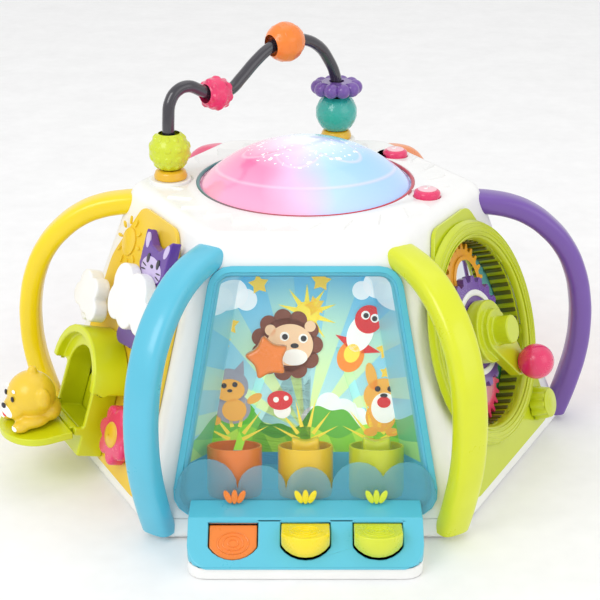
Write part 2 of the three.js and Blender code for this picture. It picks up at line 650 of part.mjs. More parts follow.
const starShape = (radius) => {
  const points = [];
  for (let i = 0; i < 10; i++) {
    const turn = Math.PI / 2 + (i * Math.PI) / 5;
    const reach = i % 2 ? radius * 0.62 : radius;
    points.push([reach * Math.cos(turn), reach * Math.sin(turn)]);
  }
  return outline(points);
};
starPlaces.forEach((place) => {
  const { name, across, lean, up, material } = place;
  const cup = turned([
    [0, 0], [CUP_RADIUS - 1, 0], [CUP_RADIUS, 4], [CUP_RADIUS, CUP_RIM - CUP_FLOOR],
    [CUP_RADIUS - CUP_WALL, CUP_RIM - CUP_FLOOR], [CUP_RADIUS - CUP_WALL, 2], [0, 2],
  ], 24);
  const upright = new THREE.Matrix4().makeRotationX(-Math.PI / 2)
    .setPosition(across, CUP_FLOOR, CUP_DEPTH_CENTRE);
  piece(front, "cup_" + name, cut(
    moved(cup, upright),
    starTrack(place, -STAGE_DEPTH, CUP_DEPTH_CENTRE - 6),
  ), material);
  const y = STAR_LOW + (up ? STAR_TRAVEL : 0);
  const x = across + lean * (y - STAR_LOW);
  const back = CUP_DEPTH_CENTRE - STAR_THICKNESS / 2;
  const star = joined(
    plate(starShape(STAR_RADIUS), back, back + STAR_THICKNESS),
    box([-STEM_HALF, -2, -STAGE_DEPTH - 2.4], [STEM_HALF, 2, back + 1]),
    box([-6, -7, -STAGE_DEPTH - 2.4], [6, 7, -STAGE_DEPTH - 0.5]),
  );
  piece(front, "star_" + name, shifted(star, x, y, 0), material);
});

// ---- Key tray in front of the stage ----
const KEY_AXIS = [-TRAY_CREASE - 0.5, TRAY_TOP - 2.6]; // y, z of the axle
const keyDrop = Math.atan2(TRAY_TOP - TRAY_LIP, TRAY_SLOPE); // slope of the tray's face
function keyProfile(clearance) {
  const half = KEY_WIDTH / 2 + clearance;
  const bulge = KEY_LENGTH - KEY_STRAIGHT;
  const radius = (half ** 2 + bulge ** 2) / (2 * bulge);
  const points = [[-half, KEY_HEEL - clearance], [half, KEY_HEEL - clearance]];
  const reach = Math.asin(half / radius);
  for (let i = 0; i <= 8; i++) {
    const turn = reach - (2 * reach * i) / 8;
    points.push([radius * Math.sin(turn), KEY_LENGTH + clearance - radius + radius * Math.cos(turn)]);
  }
  return points;
}
// The keyed outline swept about the axle; 0 degrees is straight out to the front.
function keySweep(clearance, fromAngle, toAngle) {
  const rings = [];
  const steps = Math.ceil(Math.abs(toAngle - fromAngle) / 12);
  for (let i = 0; i <= steps; i++) {
    const turn = (fromAngle + ((toAngle - fromAngle) * i) / steps) * DEGREE;
    rings.push(keyProfile(clearance).map(([x, r]) =>
      new THREE.Vector3(x, KEY_AXIS[0] - r * Math.cos(turn), KEY_AXIS[1] + r * Math.sin(turn))));
  }
  return skinned(rings);
}
const releasedTop = KEY_SWING - keyDrop / DEGREE;
const pressedTop = -keyDrop / DEGREE;
const keyPlaces = [-KEY_SPACING, 0, KEY_SPACING];
const trayRear = (z) => -apothemAt(z) - 0.5;
function trayBlock(inset, low) {
  const front = -TRAY_FRONT + inset * 1.4;
  const profile = [
    [trayRear(low) - inset, low], [front, low], [front, TRAY_LIP + (inset ? 0 : 0.5)],
    [-TRAY_CREASE + inset * 0.4, TRAY_TOP - inset], [trayRear(TRAY_TOP) - inset, TRAY_TOP - inset],
  ];
  const half = TRAY_HALF_WIDTH - inset;
  const shape = plate(outline(profile), -half, half);
  const turn = new THREE.Matrix4().makeBasis(
    new THREE.Vector3(0, 1, 0), new THREE.Vector3(0, 0, 1), new THREE.Vector3(1, 0, 0));
  return moved(shape, turn);
}
const trayPlan = plate(outline(rounded([
  [-TRAY_HALF_WIDTH, -TRAY_FRONT, 12], [TRAY_HALF_WIDTH, -TRAY_FRONT, 12],
  [TRAY_HALF_WIDTH, -140, 1], [-TRAY_HALF_WIDTH, -140, 1],
])), 0, TRAY_TOP + 5);
const clearOfWindow = moved(
  plate(outline(windowOutline(-0.5)), -1, pondLow + 2.5), front.matrix);
const axleTurn = new THREE.Matrix4().makeRotationY(Math.PI / 2);
const axleHalf = TRAY_HALF_WIDTH - 5;
const axleBar = (clearance) => shifted(moved(
  bar(KEY_AXLE_RADIUS + clearance, -axleHalf - clearance, axleHalf + clearance, 0, 0, 10), axleTurn,
), 0, ...KEY_AXIS);
piece(cube, "tray_cover", cut(
  trayBlock(0, TRAY_LIP).intersect(trayPlan),
  trayBlock(2.4, TRAY_LIP - 2),
  clearOfWindow,
  ...keyPlaces.map((x) => shifted(keySweep(0.5, 30, -86), x, 0, 0)),
  axleBar(GAP),
), BLUE);
["orange", "yellow", "lime"].forEach((name, i) => {
  const top = starPlaces[i].up ? pressedTop : releasedTop;
  const key = keySweep(0, top, top - KEY_WEDGE);
  piece(cube, "key_" + name, shifted(key, keyPlaces[i], 0, 0), starPlaces[i].material);
});
piece(cube, "key_axle", axleBar(0), STEEL);

// ---- House side: peeking cat, clouds, dog house with drop-down tray, flower ----
const CLOUD_LOW = 12;
const CLOUD_HIGH = 20;
const CAT_PIVOT = [27, 125];
const CAT_LOW = SEAT + 0.5;
const CAT_HIGH = CLOUD_LOW - 0.6;
piece(houseSide, "house_panel", cut(
  plate(outline(panelOutline()), GAP, PANEL_TOP),
  doorway(1, GAP - 1, PANEL_TOP + 1),
  bar(5.5, GAP - 1, PANEL_TOP + 1, ...chimneyPlace),
), AMBER);
const discs = (list, low, high) => joined(...list.map(([x, y, r]) => bar(r, low, high, x, y, 12)));
piece(houseSide, "cloud_cover", joined(
  discs([[5, 138, 13], [26, 136, 15], [2, 124, 12], [17, 124, 13], [38, 126, 12]], CLOUD_LOW, CLOUD_HIGH),
  bar(3.6, SEAT, CLOUD_LOW + 1, ...CAT_PIVOT, 14),
  bar(3.6, SEAT, CLOUD_LOW + 1, -3, 131, 14),
), WHITE);
const catHead = outline([
  [4, 152], [3, 176], [14, 168], [26, 167], [40, 178], [41, 154], [34, 147], [11, 145],
]);
piece(houseSide, "cat_lever", cut(
  joined(
    plate(catHead, CAT_LOW, CAT_HIGH),
    plate(outline([[18, 150], [34, 150], [35, 118], [20, 112]]), CAT_LOW, CAT_HIGH),
    discs([[4, 103, 6.5], [28, 108, 8]], CAT_LOW, CAT_HIGH),
    plate(outline([[4, 96.5], [28, 100], [36, 120], [18, 122], [4, 109.5]]), CAT_LOW, CAT_HIGH),
  ),
  bar(4.1, 0, 30, ...CAT_PIVOT, 14),
), PURPLE);
piece(houseSide, "chimney_button", joined(
  discs([
    [-34, 112, 10], [-45, 112, 8], [-39, 122, 9], [-27, 121, 8], [-23, 108, 8],
  ], CLOUD_LOW + 2, CLOUD_HIGH + 4),
  box([-40, 97, CLOUD_LOW + 3], [-29, 108, CLOUD_HIGH + 2]),
  bar(5, -6, CLOUD_LOW + 3, ...chimneyPlace, 14),
), WHITE);

function archBand(half, rise, low, high) {
  const points = [];
  for (let i = 0; i <= 14; i++) {
    const turn = (i / 14) * Math.PI;
    points.push([HOUSE_MIDDLE + half * Math.cos(turn), ROOF_EAVE + rise * Math.sin(turn)]);
  }
  return plate(outline(points), low, high);
}
const HINGE = { y: DOOR_SILL - 0.5, z: HOUSE_FRONT + 3.5, barrel: 2.5, pin: 1.1 };
const lugAcross = [HOUSE_MIDDLE - HOUSE_HALF, HOUSE_MIDDLE + HOUSE_HALF - 4];
const acrossBar = (radius, from, to, sides) => shifted(
  moved(bar(radius, from, to, 0, 0, sides), axleTurn), 0, HINGE.y, HINGE.z);
piece(houseSide, "house", cut(
  joined(
    box(
      [HOUSE_MIDDLE - HOUSE_HALF, HOUSE_BOTTOM, SEAT],
      [HOUSE_MIDDLE + HOUSE_HALF, ROOF_EAVE + 1, HOUSE_FRONT],
    ),
    archBand(ROOF_HALF - 4, ROOF_RISE - 4, SEAT, HOUSE_FRONT),
    archBand(ROOF_HALF, ROOF_RISE, SEAT, ROOF_FRONT)
      .subtract(
        archBand(ROOF_HALF - ROOF_THICKNESS, ROOF_RISE - ROOF_THICKNESS, HOUSE_FRONT - 0.01, ROOF_FRONT + 1)
          .add(box([-80, ROOF_EAVE - 1, HOUSE_FRONT - 0.01], [60, ROOF_EAVE + 0.01, HOUSE_FRONT])),
      ),
  ),
  doorway(0, SEAT - 1, ROOF_FRONT + 1),
).add(joined(
  ...lugAcross.map((x) =>
    box([x, HINGE.y - 2.8, HOUSE_FRONT - 1], [x + 4, HINGE.y + 2.8, HINGE.z + HINGE.barrel])),
  acrossBar(HINGE.pin, lugAcross[0] + 1, lugAcross[1] + 3, 8),
)), LIME);

// The tray's own frame: x across, y straight up, z level outwards, from the hinge pin.
const trayGroup = new THREE.Group();
trayGroup.position.set(HOUSE_MIDDLE, HINGE.y, HINGE.z);
trayGroup.rotation.x = TILT;
houseSide.add(trayGroup);
const trayHalf = HOUSE_HALF + 2.5;
const LEAF_START = 4.2; // past the lugs' corners as the tray folds
const leaf = new THREE.Shape();
leaf.moveTo(-trayHalf, -LEAF_START);
leaf.lineTo(trayHalf, -LEAF_START);
leaf.lineTo(trayHalf, -TRAY_LENGTH * 0.45);
leaf.absellipse(0, -TRAY_LENGTH * 0.45, trayHalf, TRAY_LENGTH * 0.55, 0, -Math.PI, true);
const flat = new THREE.Matrix4().makeRotationX(-Math.PI / 2); // plan y becomes -z, height becomes y
const barrelHalf = HOUSE_HALF - 4 - 0.4;
piece(trayGroup, "door_tray", cut(
  joined(
    moved(plate(leaf, -2.5, 2.5, 12), flat),
    moved(bar(HINGE.barrel, -barrelHalf, barrelHalf, 0, 0, 12), axleTurn),
    box([-barrelHalf, -2.4, 0], [barrelHalf, 2.4, LEAF_START + 1]),
  ),
  moved(bar(HINGE.pin + 0.35, -40, 40, 0, 0, 10), axleTurn),
), LIME);
piece(trayGroup, "puppy", cut(
  joined(
    ball(16, 0, 23, 21, [1.05, 1, 1]),
    ball(9, 0, 16, 33, [1.2, 0.9, 0.8], 8),
    ball(11, 0, 11, 12, [1.3, 0.9, 0.9], 8),
    ball(5, -11, 5.5, 33, [1, 0.9, 1.3], 6),
    ball(5, 11, 5.5, 33, [1, 0.9, 1.3], 6),
    ball(5, -15.5, 25, 18, [0.7, 1.5, 1], 6),
    ball(5, 15.5, 25, 18, [0.7, 1.5, 1], 6),
    ball(4, 0, 39.5, 19, [0.9, 1.1, 0.9], 6),
    ball(9, -8, 7, 24, [1, 0.7, 1.4], 6),
    ball(9, 8, 7, 24, [1, 0.7, 1.4], 6),
  ),
  box([-40, -20, -40], [40, 2.5 + GAP, 80]),
), AMBER);
const FLOWER_PLACE = [33, 43];
piece(houseSide, "flower_knob", shifted(plate(
  petalOutline(FLOWER_RADIUS, 7, 4.5), SEAT, SEAT + 11), ...FLOWER_PLACE, 0), PINK);

// ---- Gear side: ring window, three gears, crank and click dial ----
const ringProfile = [
  [RING_INNER, PANEL_TOP - 1], [RING_OUTER - 1.5, PANEL_TOP], [RING_OUTER, PANEL_TOP + 1.5],
  [RING_OUTER - 2, PANEL_TOP + 4.4], [RING_OUTER - 6, PANEL_TOP + 5.3], [RING_INNER + 4, PANEL_TOP + 4.6],
  [RING_INNER + 1, PANEL_TOP + 3.4], [RING_INNER, PANEL_TOP + 1.5],
];
const wellFloor = -WELL_DEPTH;
piece(gearSide, "gear_panel", joined(
  plate(outline(panelOutline()), GAP, PANEL_TOP).subtract(bar(RING_INNER, -1, 20, 0, RING_HEIGHT, 36)),
  shifted(turned(ringProfile, 48), 0, RING_HEIGHT, 0),
  shifted(turned([
    [RING_INNER, wellFloor + GAP], [wellOuter, wellFloor + GAP], [wellOuter, GAP + 1], [RING_INNER, GAP + 1],
  ], 36), 0, RING_HEIGHT, 0),
), LIME);
const pinionRadius = (TOOTH_MODULE * PINION_TEETH) / 2;
const gearRadius = (TOOTH_MODULE * GEAR_TEETH) / 2;
const gearDistance = pinionRadius + gearRadius + 0.2;
// Trapezoid teeth about the middle; phase turns the first tooth away from +x.
function gearOutline(teeth, phase) {
  const pitch = (TOOTH_MODULE * teeth) / 2;
  const step = (2 * Math.PI) / teeth;
  const [root, tip] = [pitch - 1.15 * TOOTH_MODULE, pitch + 0.85 * TOOTH_MODULE];
  const points = [];
  for (let i = 0; i < teeth; i++) {
    for (const [share, reach] of [[-0.31, root], [-0.13, tip], [0.13, tip], [0.31, root]]) {
      const turn = phase + (i + share) * step;
      points.push([reach * Math.cos(turn), reach * Math.sin(turn)]);
    }
  }
  return outline(points);
}
const LAYER = { back: wellFloor + 1.5, front: wellFloor + 7.5 };
const gearPins = {
  gear_mirror: { angle: 70, radius: 3, material: AMBER },
  gear_rattle: { angle: 266, radius: 3, material: PINK },
};
const CRANK_AXLE = 4;
let backplate = bar(wellOuter, wellFloor - 2, wellFloor, 0, RING_HEIGHT, 36)
  .subtract(bar(CRANK_AXLE + 0.4, -40, 40, 0, RING_HEIGHT, 14));
for (const pin of Object.values(gearPins)) {
  pin.x = gearDistance * Math.cos(pin.angle * DEGREE);
  pin.y = RING_HEIGHT + gearDistance * Math.sin(pin.angle * DEGREE);
  backplate = backplate.add(bar(pin.radius, wellFloor - 1, LAYER.front - 1, pin.x, pin.y, 12));
}
piece(gearSide, "gear_backplate", backplate, TEAL);
for (const [name, { angle, radius, x, y, material }] of Object.entries(gearPins)) {
  const [stepSmall, stepLarge] = [(2 * Math.PI) / PINION_TEETH, (2 * Math.PI) / GEAR_TEETH];
  const toothsAway = (angle * DEGREE) / stepSmall;
  const phase = angle * DEGREE + Math.PI + (toothsAway - Math.floor(toothsAway) + 0.5) * stepLarge;
  const gear = plate(gearOutline(GEAR_TEETH, phase), LAYER.back, LAYER.front);
  const bored = gear.subtract(bar(radius + 0.35, -40, LAYER.front - 0.6, 0, 0, 12));
  const raised = bar(17.5, LAYER.front - 1, LAYER.front + 1.4, 0, 0, 24);
  piece(gearSide, name, shifted(bored.add(raised), x, y, 0), material);
}
const frontGear = { low: LAYER.front + 1.8, high: LAYER.front + 6.3 };
function wheelOutline(radius, teeth) {
  const points = [];
  for (let i = 0; i < teeth; i++) {
    for (const [share, reach] of [[-0.3, radius - 4], [-0.17, radius], [0.17, radius], [0.3, radius - 4]]) {
      const turn = ((i + share) / teeth) * 2 * Math.PI;
      points.push([reach * Math.cos(turn), reach * Math.sin(turn)]);
    }
  }
  return outline(points);
}
piece(gearSide, "gear_centre", shifted(cut(
  joined(
    plate(gearOutline(PINION_TEETH, 0), LAYER.back, LAYER.front + 2),
    plate(wheelOutline(FRONT_GEAR_RADIUS, 20), frontGear.low, frontGear.high),
  ),
  bar(CRANK_AXLE + GAP, -40, 40, 0, 0, 14),
), 0, RING_HEIGHT, 0), PURPLE);
const crankAngle = -57 * DEGREE;
const hub = { low: frontGear.high + GAP, high: frontGear.high + 10, boss: 26 };
const knobPlace = [CRANK_REACH * Math.cos(crankAngle), CRANK_REACH * Math.sin(crankAngle)];
const armPoints = [];
for (let i = 0; i <= 8; i++) {
  const turn = crankAngle + Math.PI / 2 + (i / 8) * Math.PI;
  armPoints.push([15 * Math.cos(turn), 15 * Math.sin(turn)]);
}
for (let i = 0; i <= 8; i++) {
  const turn = crankAngle - Math.PI / 2 + (i / 8) * Math.PI;
  armPoints.push([knobPlace[0] + 8.5 * Math.cos(turn), knobPlace[1] + 8.5 * Math.sin(turn)]);
}
const arm = { low: hub.high - 4, high: hub.high + 4.5 };
const knobCentre = arm.high + CRANK_KNOB_RADIUS - 1;
piece(gearSide, "crank", shifted(joined(
  bar(HUB_RADIUS, hub.low, hub.high, 0, 0, 28),
  plate(outline(armPoints), arm.low, arm.high),
  bar(9.5, hub.high - 1, hub.boss, 0, 0, 18),
  bar(CRANK_AXLE, wellFloor - 4, hub.low + 1, 0, 0, 14),
  bar(3, arm.high - 1, knobCentre, ...knobPlace, 10),
), 0, RING_HEIGHT, 0), LIME);
piece(gearSide, "crank_knob", shifted(cut(
  ball(CRANK_KNOB_RADIUS, ...knobPlace, knobCentre, [1, 1, 1], 12),
  box([-80, -80, -20], [80, 80, arm.high + GAP]),
  bar(3.4, 0, knobCentre + GAP, ...knobPlace, 10),
), 0, RING_HEIGHT, 0), PINK);
const DIAL_PLACE = [50, 29];
piece(gearSide, "ridge_dial", shifted(plate(
  petalOutline(DIAL_RADIUS, 10, 1.6, 3), SEAT, SEAT + 11), ...DIAL_PLACE, 0), LIME);

// ---- The three sides behind ----
piece(rightRear, "right_rear_panel", plate(outline(panelOutline()), GAP, PANEL_TOP)
  .add(bar(34, PANEL_TOP - 1, PANEL_TOP + 3, 0, TURN_DIAL_HEIGHT, 32)), ORANGE);
piece(rightRear, "turn_dial", shifted(joined(
  plate(petalOutline(29, 6, 7), PANEL_TOP + 3 + GAP, PANEL_TOP + 12),
  bar(9, PANEL_TOP + 11, PANEL_TOP + 22, 0, 0, 16),
), 0, TURN_DIAL_HEIGHT, 0), YELLOW);
piece(rear, "rear_panel", cut(
  plate(outline(panelOutline()), GAP, PANEL_TOP),
  box([-SLIDER_HALF, SLIDER_BOTTOM, -1], [SLIDER_HALF, SLIDER_TOP, PANEL_TOP + 1]),
), BLUE);
piece(rear, "slide_knob", shifted(joined(
  plate(petalOutline(17, 5, 4), SEAT, SEAT + 9),
  box([-SLIDER_HALF + 0.5, -6, -WALL - 1], [SLIDER_HALF - 0.5, 6, SEAT + 1]),
  box([-9, -9, -WALL - 3], [9, 9, -WALL - 0.5]),
), 0, (SLIDER_BOTTOM + SLIDER_TOP) / 2, 0), ORANGE);
const frameHalf = DRUM_HALF + 7;
piece(leftRear, "left_rear_panel", cut(
  joined(
    plate(outline(panelOutline()), GAP, PANEL_TOP),
    box([-frameHalf, DRUM_HEIGHT - 12, PANEL_TOP - 1], [-DRUM_HALF - 2.5, DRUM_HEIGHT + 12, PANEL_TOP + 6]),
    box([DRUM_HALF + 2.5, DRUM_HEIGHT - 12, PANEL_TOP - 1], [frameHalf, DRUM_HEIGHT + 12, PANEL_TOP + 6]),
    box([-frameHalf, DRUM_HEIGHT - 5, DRUM_CENTRE - 5], [-DRUM_HALF - 2.5, DRUM_HEIGHT + 5, PANEL_TOP]),
    box([DRUM_HALF + 2.5, DRUM_HEIGHT - 5, DRUM_CENTRE - 5], [frameHalf, DRUM_HEIGHT + 5, PANEL_TOP]),
  ),
  plate(outline(drumWindow(1)), -20, 30),
  shifted(moved(bar(3.4, -50, 50, 0, 0, 12), axleTurn), 0, DRUM_HEIGHT, DRUM_CENTRE),
), PURPLE);
const drumEnd = DRUM_HALF + 5;
piece(leftRear, "spin_drum", shifted(moved(joined(
  plate(petalOutline(DRUM_RADIUS, 8, 3), -DRUM_HALF, DRUM_HALF),
  bar(3, -drumEnd, drumEnd, 0, 0, 12),
), axleTurn), 0, DRUM_HEIGHT, DRUM_CENTRE), YELLOW);

export default cube;
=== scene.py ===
import json
import math

import bmesh
import bpy
from mathutils import Matrix, Vector

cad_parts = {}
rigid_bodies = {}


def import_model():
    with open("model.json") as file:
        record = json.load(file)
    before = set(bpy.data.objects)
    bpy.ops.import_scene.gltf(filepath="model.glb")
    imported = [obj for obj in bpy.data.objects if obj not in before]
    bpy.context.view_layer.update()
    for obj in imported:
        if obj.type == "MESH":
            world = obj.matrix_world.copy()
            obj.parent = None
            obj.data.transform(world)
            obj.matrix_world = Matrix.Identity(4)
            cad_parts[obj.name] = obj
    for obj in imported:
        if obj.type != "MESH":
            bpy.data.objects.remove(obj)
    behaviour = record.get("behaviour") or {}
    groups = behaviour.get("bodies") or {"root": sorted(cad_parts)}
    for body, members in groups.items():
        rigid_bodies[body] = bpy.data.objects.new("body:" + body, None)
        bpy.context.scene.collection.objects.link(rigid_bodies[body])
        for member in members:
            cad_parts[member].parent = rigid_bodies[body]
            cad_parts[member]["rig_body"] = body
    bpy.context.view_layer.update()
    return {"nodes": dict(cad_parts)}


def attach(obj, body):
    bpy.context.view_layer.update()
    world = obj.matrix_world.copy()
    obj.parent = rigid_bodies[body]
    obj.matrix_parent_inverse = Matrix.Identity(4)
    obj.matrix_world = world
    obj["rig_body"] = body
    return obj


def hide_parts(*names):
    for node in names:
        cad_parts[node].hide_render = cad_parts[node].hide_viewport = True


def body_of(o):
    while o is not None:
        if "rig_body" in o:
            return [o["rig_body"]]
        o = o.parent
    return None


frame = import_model()

# Base shell. A shallow white ABS tub moulded in one piece, with a rounded foot and the low slab under
# the key tray. The upper body is screwed down onto it from below.


def tone(red, green, blue):
    """A colour given as on a paint card, 0 to 255, as the shaders take it."""
    parts = [value / 255 for value in (red, green, blue)]
    return [p / 12.92 if p <= 0.04045 else ((p + 0.055) / 1.055) ** 2.4 for p in parts] + [1.0]


class Flow:
    """A shader value that takes part in sums."""

    def __init__(self, tree, socket=None):
        self.tree = tree
        self.socket = socket

    def node(self, kind, settings, inputs, output=0):
        made = self.tree.nodes.new(kind)
        for name, value in settings.items():
            setattr(made, name, value)
        for name, value in inputs.items():
            if isinstance(value, Flow):
                self.tree.links.new(value.socket, made.inputs[name])
            else:
                made.inputs[name].default_value = value
        return Flow(self.tree, made.outputs[output])

    def maths(self, operation, *others):
        return self.node("ShaderNodeMath", {"operation": operation}, dict(enumerate((self, *others))))

    def __add__(self, other):
        return self.maths("ADD", other)

    def __sub__(self, other):
        return self.maths("SUBTRACT", other)

    def __rsub__(self, other):
        return self.maths("MULTIPLY_ADD", -1.0, other)

    def __mul__(self, other):
        return self.maths("MULTIPLY", other)

    def __truediv__(self, other):
        return self.maths("DIVIDE", other)

    def __lt__(self, other):
        return self.maths("LESS_THAN", other)

    def __gt__(self, other):
        return self.maths("GREATER_THAN", other)

    def __neg__(self):
        return self.maths("MULTIPLY", -1.0)

    __radd__ = __add__
    __rmul__ = __mul__

    def blend(self, low, high):
        return self.node("ShaderNodeMix", {"data_type": "RGBA"}, {0: self, 6: low, 7: high}, 2)

    def along(self, direction):
        return self.node("ShaderNodeVectorMath", {"operation": "DOT_PRODUCT"}, {0: self, 1: direction},
                         "Value")

    def noise(self, scale, detail=2.0):
        return self.node("ShaderNodeTexNoise", {}, {"Vector": self, "Scale": scale, "Detail": detail}, 0)

    def into(self, shader, name):
        self.tree.links.new(self.socket, shader.inputs[name])


def plastic(name, colour, roughness=0.3, coat=0.3, grain=0.00004, printed=None, glow=None, relief=None,
            **sockets):
    """Moulded plastic: slight flow shading, fine grain, uneven gloss, and a print or glow where given."""
    material = bpy.data.materials.new(name)
    material.use_nodes = True
    shader = material.node_tree.nodes["Principled BSDF"]
    place = Flow(material.node_tree).node("ShaderNodeTexCoord", {}, {}, "Object")
    flow = place.noise(16, 3) * 0.6 + place.noise(70, 2) * 0.4
    paint = flow.blend(tone(*[v * 0.955 for v in colour]), tone(*[min(255, v * 1.03) for v in colour]))
    if printed:
        paint = printed(place, paint)
    paint.into(shader, "Base Color")
    gloss = place.noise(45, 3) * 0.12 + place.noise(600, 1) * 0.05 + (roughness - 0.085)
    gloss.into(shader, "Roughness")
    skin = place.noise(1500, 2) * 0.6 + place.noise(260, 2) * 0.4
    if relief:
        skin = skin + relief(place)
    bump = place.node("ShaderNodeBump", {}, {"Height": skin, "Strength": 0.6, "Distance": grain})
    bump.into(shader, "Normal")
    if glow:
        glow(place).into(shader, "Emission Color")
    shader.inputs["Coat Weight"].default_value = coat
    shader.inputs["Coat Roughness"].default_value = 0.12
    for socket, value in sockets.items():
        shader.inputs[socket.replace("_", " ")].default_value = value
    return material


def alone(piece):
    bpy.ops.object.select_all(action="DESELECT")
    piece.select_set(True)
    bpy.context.view_layer.objects.active = piece


def applied(piece, kind, **settings):
    alone(piece)
    modifier = piece.modifiers.new(kind.lower(), kind)
    for name, value in settings.items():
        setattr(modifier, name, value)
    bpy.ops.object.modifier_apply(modifier=modifier.name)


def finished(piece, name, material, body, slot, *nodes, smooth=40):
    """Names a made piece, paints it and ties it to its body and the nodes it stands for; its slot is not
    used.
    """
    alone(piece)
    bpy.ops.object.transform_apply(location=True, rotation=True, scale=True)
    piece.name = name
    piece.data.name = name
    piece.data.materials.clear()
    piece.data.materials.append(material)
    bpy.ops.object.shade_smooth_by_angle(angle=math.radians(smooth))
    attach(piece, body)
    if nodes:
        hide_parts(*nodes)
    return piece


def cast(node, angle=0.4):
    """A merged copy of a frame node, with its flat faces made whole."""
    source = frame["nodes"][node]
    piece = bpy.data.objects.new(node + "_copy", source.data.copy())
    bpy.context.scene.collection.objects.link(piece)
    alone(piece)
    bpy.ops.object.mode_set(mode="EDIT")
    bpy.ops.mesh.select_all(action="SELECT")
    bpy.ops.mesh.remove_doubles(threshold=0.000002)
    bpy.ops.mesh.dissolve_limited(angle_limit=math.radians(angle))
    bpy.ops.object.mode_set(mode="OBJECT")
    return piece


def moulded(node, material, slot, edge=0.0006, steps=2, crease=35):
    """A frame node as it leaves the mould: edges eased, flats kept flat."""
    body = body_of(frame["nodes"][node])[0]
    piece = cast(node)
    if edge:
        applied(piece, "BEVEL", width=edge, segments=steps, limit_method="ANGLE",
                angle_limit=math.radians(crease), use_clamp_overlap=False, miter_outer="MITER_ARC")
    finished(piece, node + "_moulding", material, body, slot, node, smooth=crease)
    applied(piece, "WEIGHTED_NORMAL", keep_sharp=True)
    return piece


white = plastic("white_plastic", (243, 243, 241), 0.34, 0.25)
moulded("base_shell", white, "white_shell", 0.0008)

# Works in the base. The battery box and its lid, the main board, the small loudspeaker and the round
# lamp board are bought-in or plain moulded pieces, clipped and screwed inside the tub.


def copper(place, paint):
    lane = (place.along((0, 900, 0)).maths("SINE") * place.along((700, 0, 0)).maths("SINE")) > 0.35
    return (lane * 0.5).blend(paint, tone(60, 150, 90))


board = plastic("board_green", (38, 112, 66), 0.5, 0.1, printed=copper)
dark = plastic("dark_plastic", (40, 37, 44), 0.42, 0.1)
steel = plastic("steel", (176, 180, 184), 0.3, 0.0, 0.00002, Metallic=1.0)
moulded("battery_door", white, "white_shell", 0.0004)
moulded("battery_box", dark, "black_part", 0.0005)
moulded("circuit_board", board, "circuit", 0.0002)
moulded("light_board", board, "circuit", 0.0002)
moulded("speaker", steel, "steel_pin", 0.0003)

# Upper shell. The tall six-sided white body, blow-smooth at its corners and crest, with one big window
# in front and a seat for each play panel. A star of low facets is moulded on its deck round the dome.
moulded("upper_shell", white, "white_shell", 0.0005, crease=28)
deck = 0.181
facets = 26
bpy.ops.object.select_all(action="DESELECT")
bpy.ops.mesh.primitive_circle_add(vertices=facets * 2, radius=0.0985, fill_type="NGON",
                                  location=(0, 0, deck - 0.0005))
ruff = bpy.context.object
bpy.ops.object.mode_set(mode="EDIT")


def choose(piece, test):
    """Selects the points of a piece in edit mode that pass a test on their number and place."""
    mesh = bmesh.from_edit_mesh(piece.data)
    mesh.select_mode = {"VERT"}
    for vertex in mesh.verts:
        vertex.select = bool(test(vertex.index, vertex.co))
    mesh.select_flush_mode()
    bmesh.update_edit_mesh(piece.data)


choose(ruff, lambda number, place: number % 2)
bpy.ops.transform.resize(value=(0.86, 0.86, 1), center_override=(0, 0, deck))
bpy.ops.mesh.select_all(action="SELECT")
bpy.ops.mesh.extrude_region_move(TRANSFORM_OT_translate={"value": (0, 0, 0.0019)})
bpy.ops.transform.resize(value=(0.985, 0.985, 1), center_override=(0, 0, deck))
bpy.ops.mesh.select_all(action="SELECT")
bpy.ops.mesh.normals_make_consistent(inside=False)
bpy.ops.object.mode_set(mode="OBJECT")
openings = [(0, 0, 0.0745), (-0.092, 0, 0.0155), (0.023, 0.097, 0.0155), (0.0805, -0.031, 0.0125),
            (0.065, 0.059, 0.0125)]
for x, y, radius in openings:
    bpy.ops.object.select_all(action="DESELECT")
    bpy.ops.mesh.primitive_cylinder_add(vertices=96, radius=radius, depth=0.03, location=(x, y, deck))
    drill = bpy.context.object
    applied(ruff, "BOOLEAN", operation="DIFFERENCE", object=drill, solver="EXACT")
    bpy.data.objects.remove(drill)
applied(ruff, "BEVEL", width=0.0005, segments=2, limit_method="ANGLE", use_clamp_overlap=False)
finished(ruff, "deck_facets", white, "casing", "white_shell", smooth=30)

# Light-up dome. A milky translucent cap with raised cloud outlines, clipped under the deck, pressed to
# play. The lamps below light it pink on the left, green behind and blue on the right.


def turned(profile, sides=96, place=(0, 0, 0)):
    """A round piece drawn up step by step from [radius, height] rings, with its ends filled."""
    bpy.ops.object.select_all(action="DESELECT")
    bpy.ops.mesh.primitive_circle_add(vertices=sides, radius=profile[0][0], location=(0, 0, profile[0][1]))
    piece = bpy.context.object
    bpy.ops.object.transform_apply(location=True)
    bpy.ops.object.mode_set(mode="EDIT")
    bpy.ops.mesh.select_all(action="SELECT")
    for (radius, height), (wider, higher) in zip(profile, profile[1:]):
        bpy.ops.mesh.extrude_edges_move(TRANSFORM_OT_translate={"value": (0, 0, higher - height)})
        bpy.ops.transform.resize(value=(wider / radius, wider / radius, 1), center_override=(0, 0, 0))
    bpy.ops.mesh.select_all(action="SELECT")
    bpy.ops.mesh.remove_doubles(threshold=0.000001)
    bpy.ops.mesh.delete_loose()
    bpy.ops.mesh.fill_holes(sides=0)
    bpy.ops.mesh.select_all(action="SELECT")
    bpy.ops.mesh.normals_make_consistent(inside=False)
    bpy.ops.transform.translate(value=place)
    bpy.ops.object.mode_set(mode="OBJECT")
    return piece


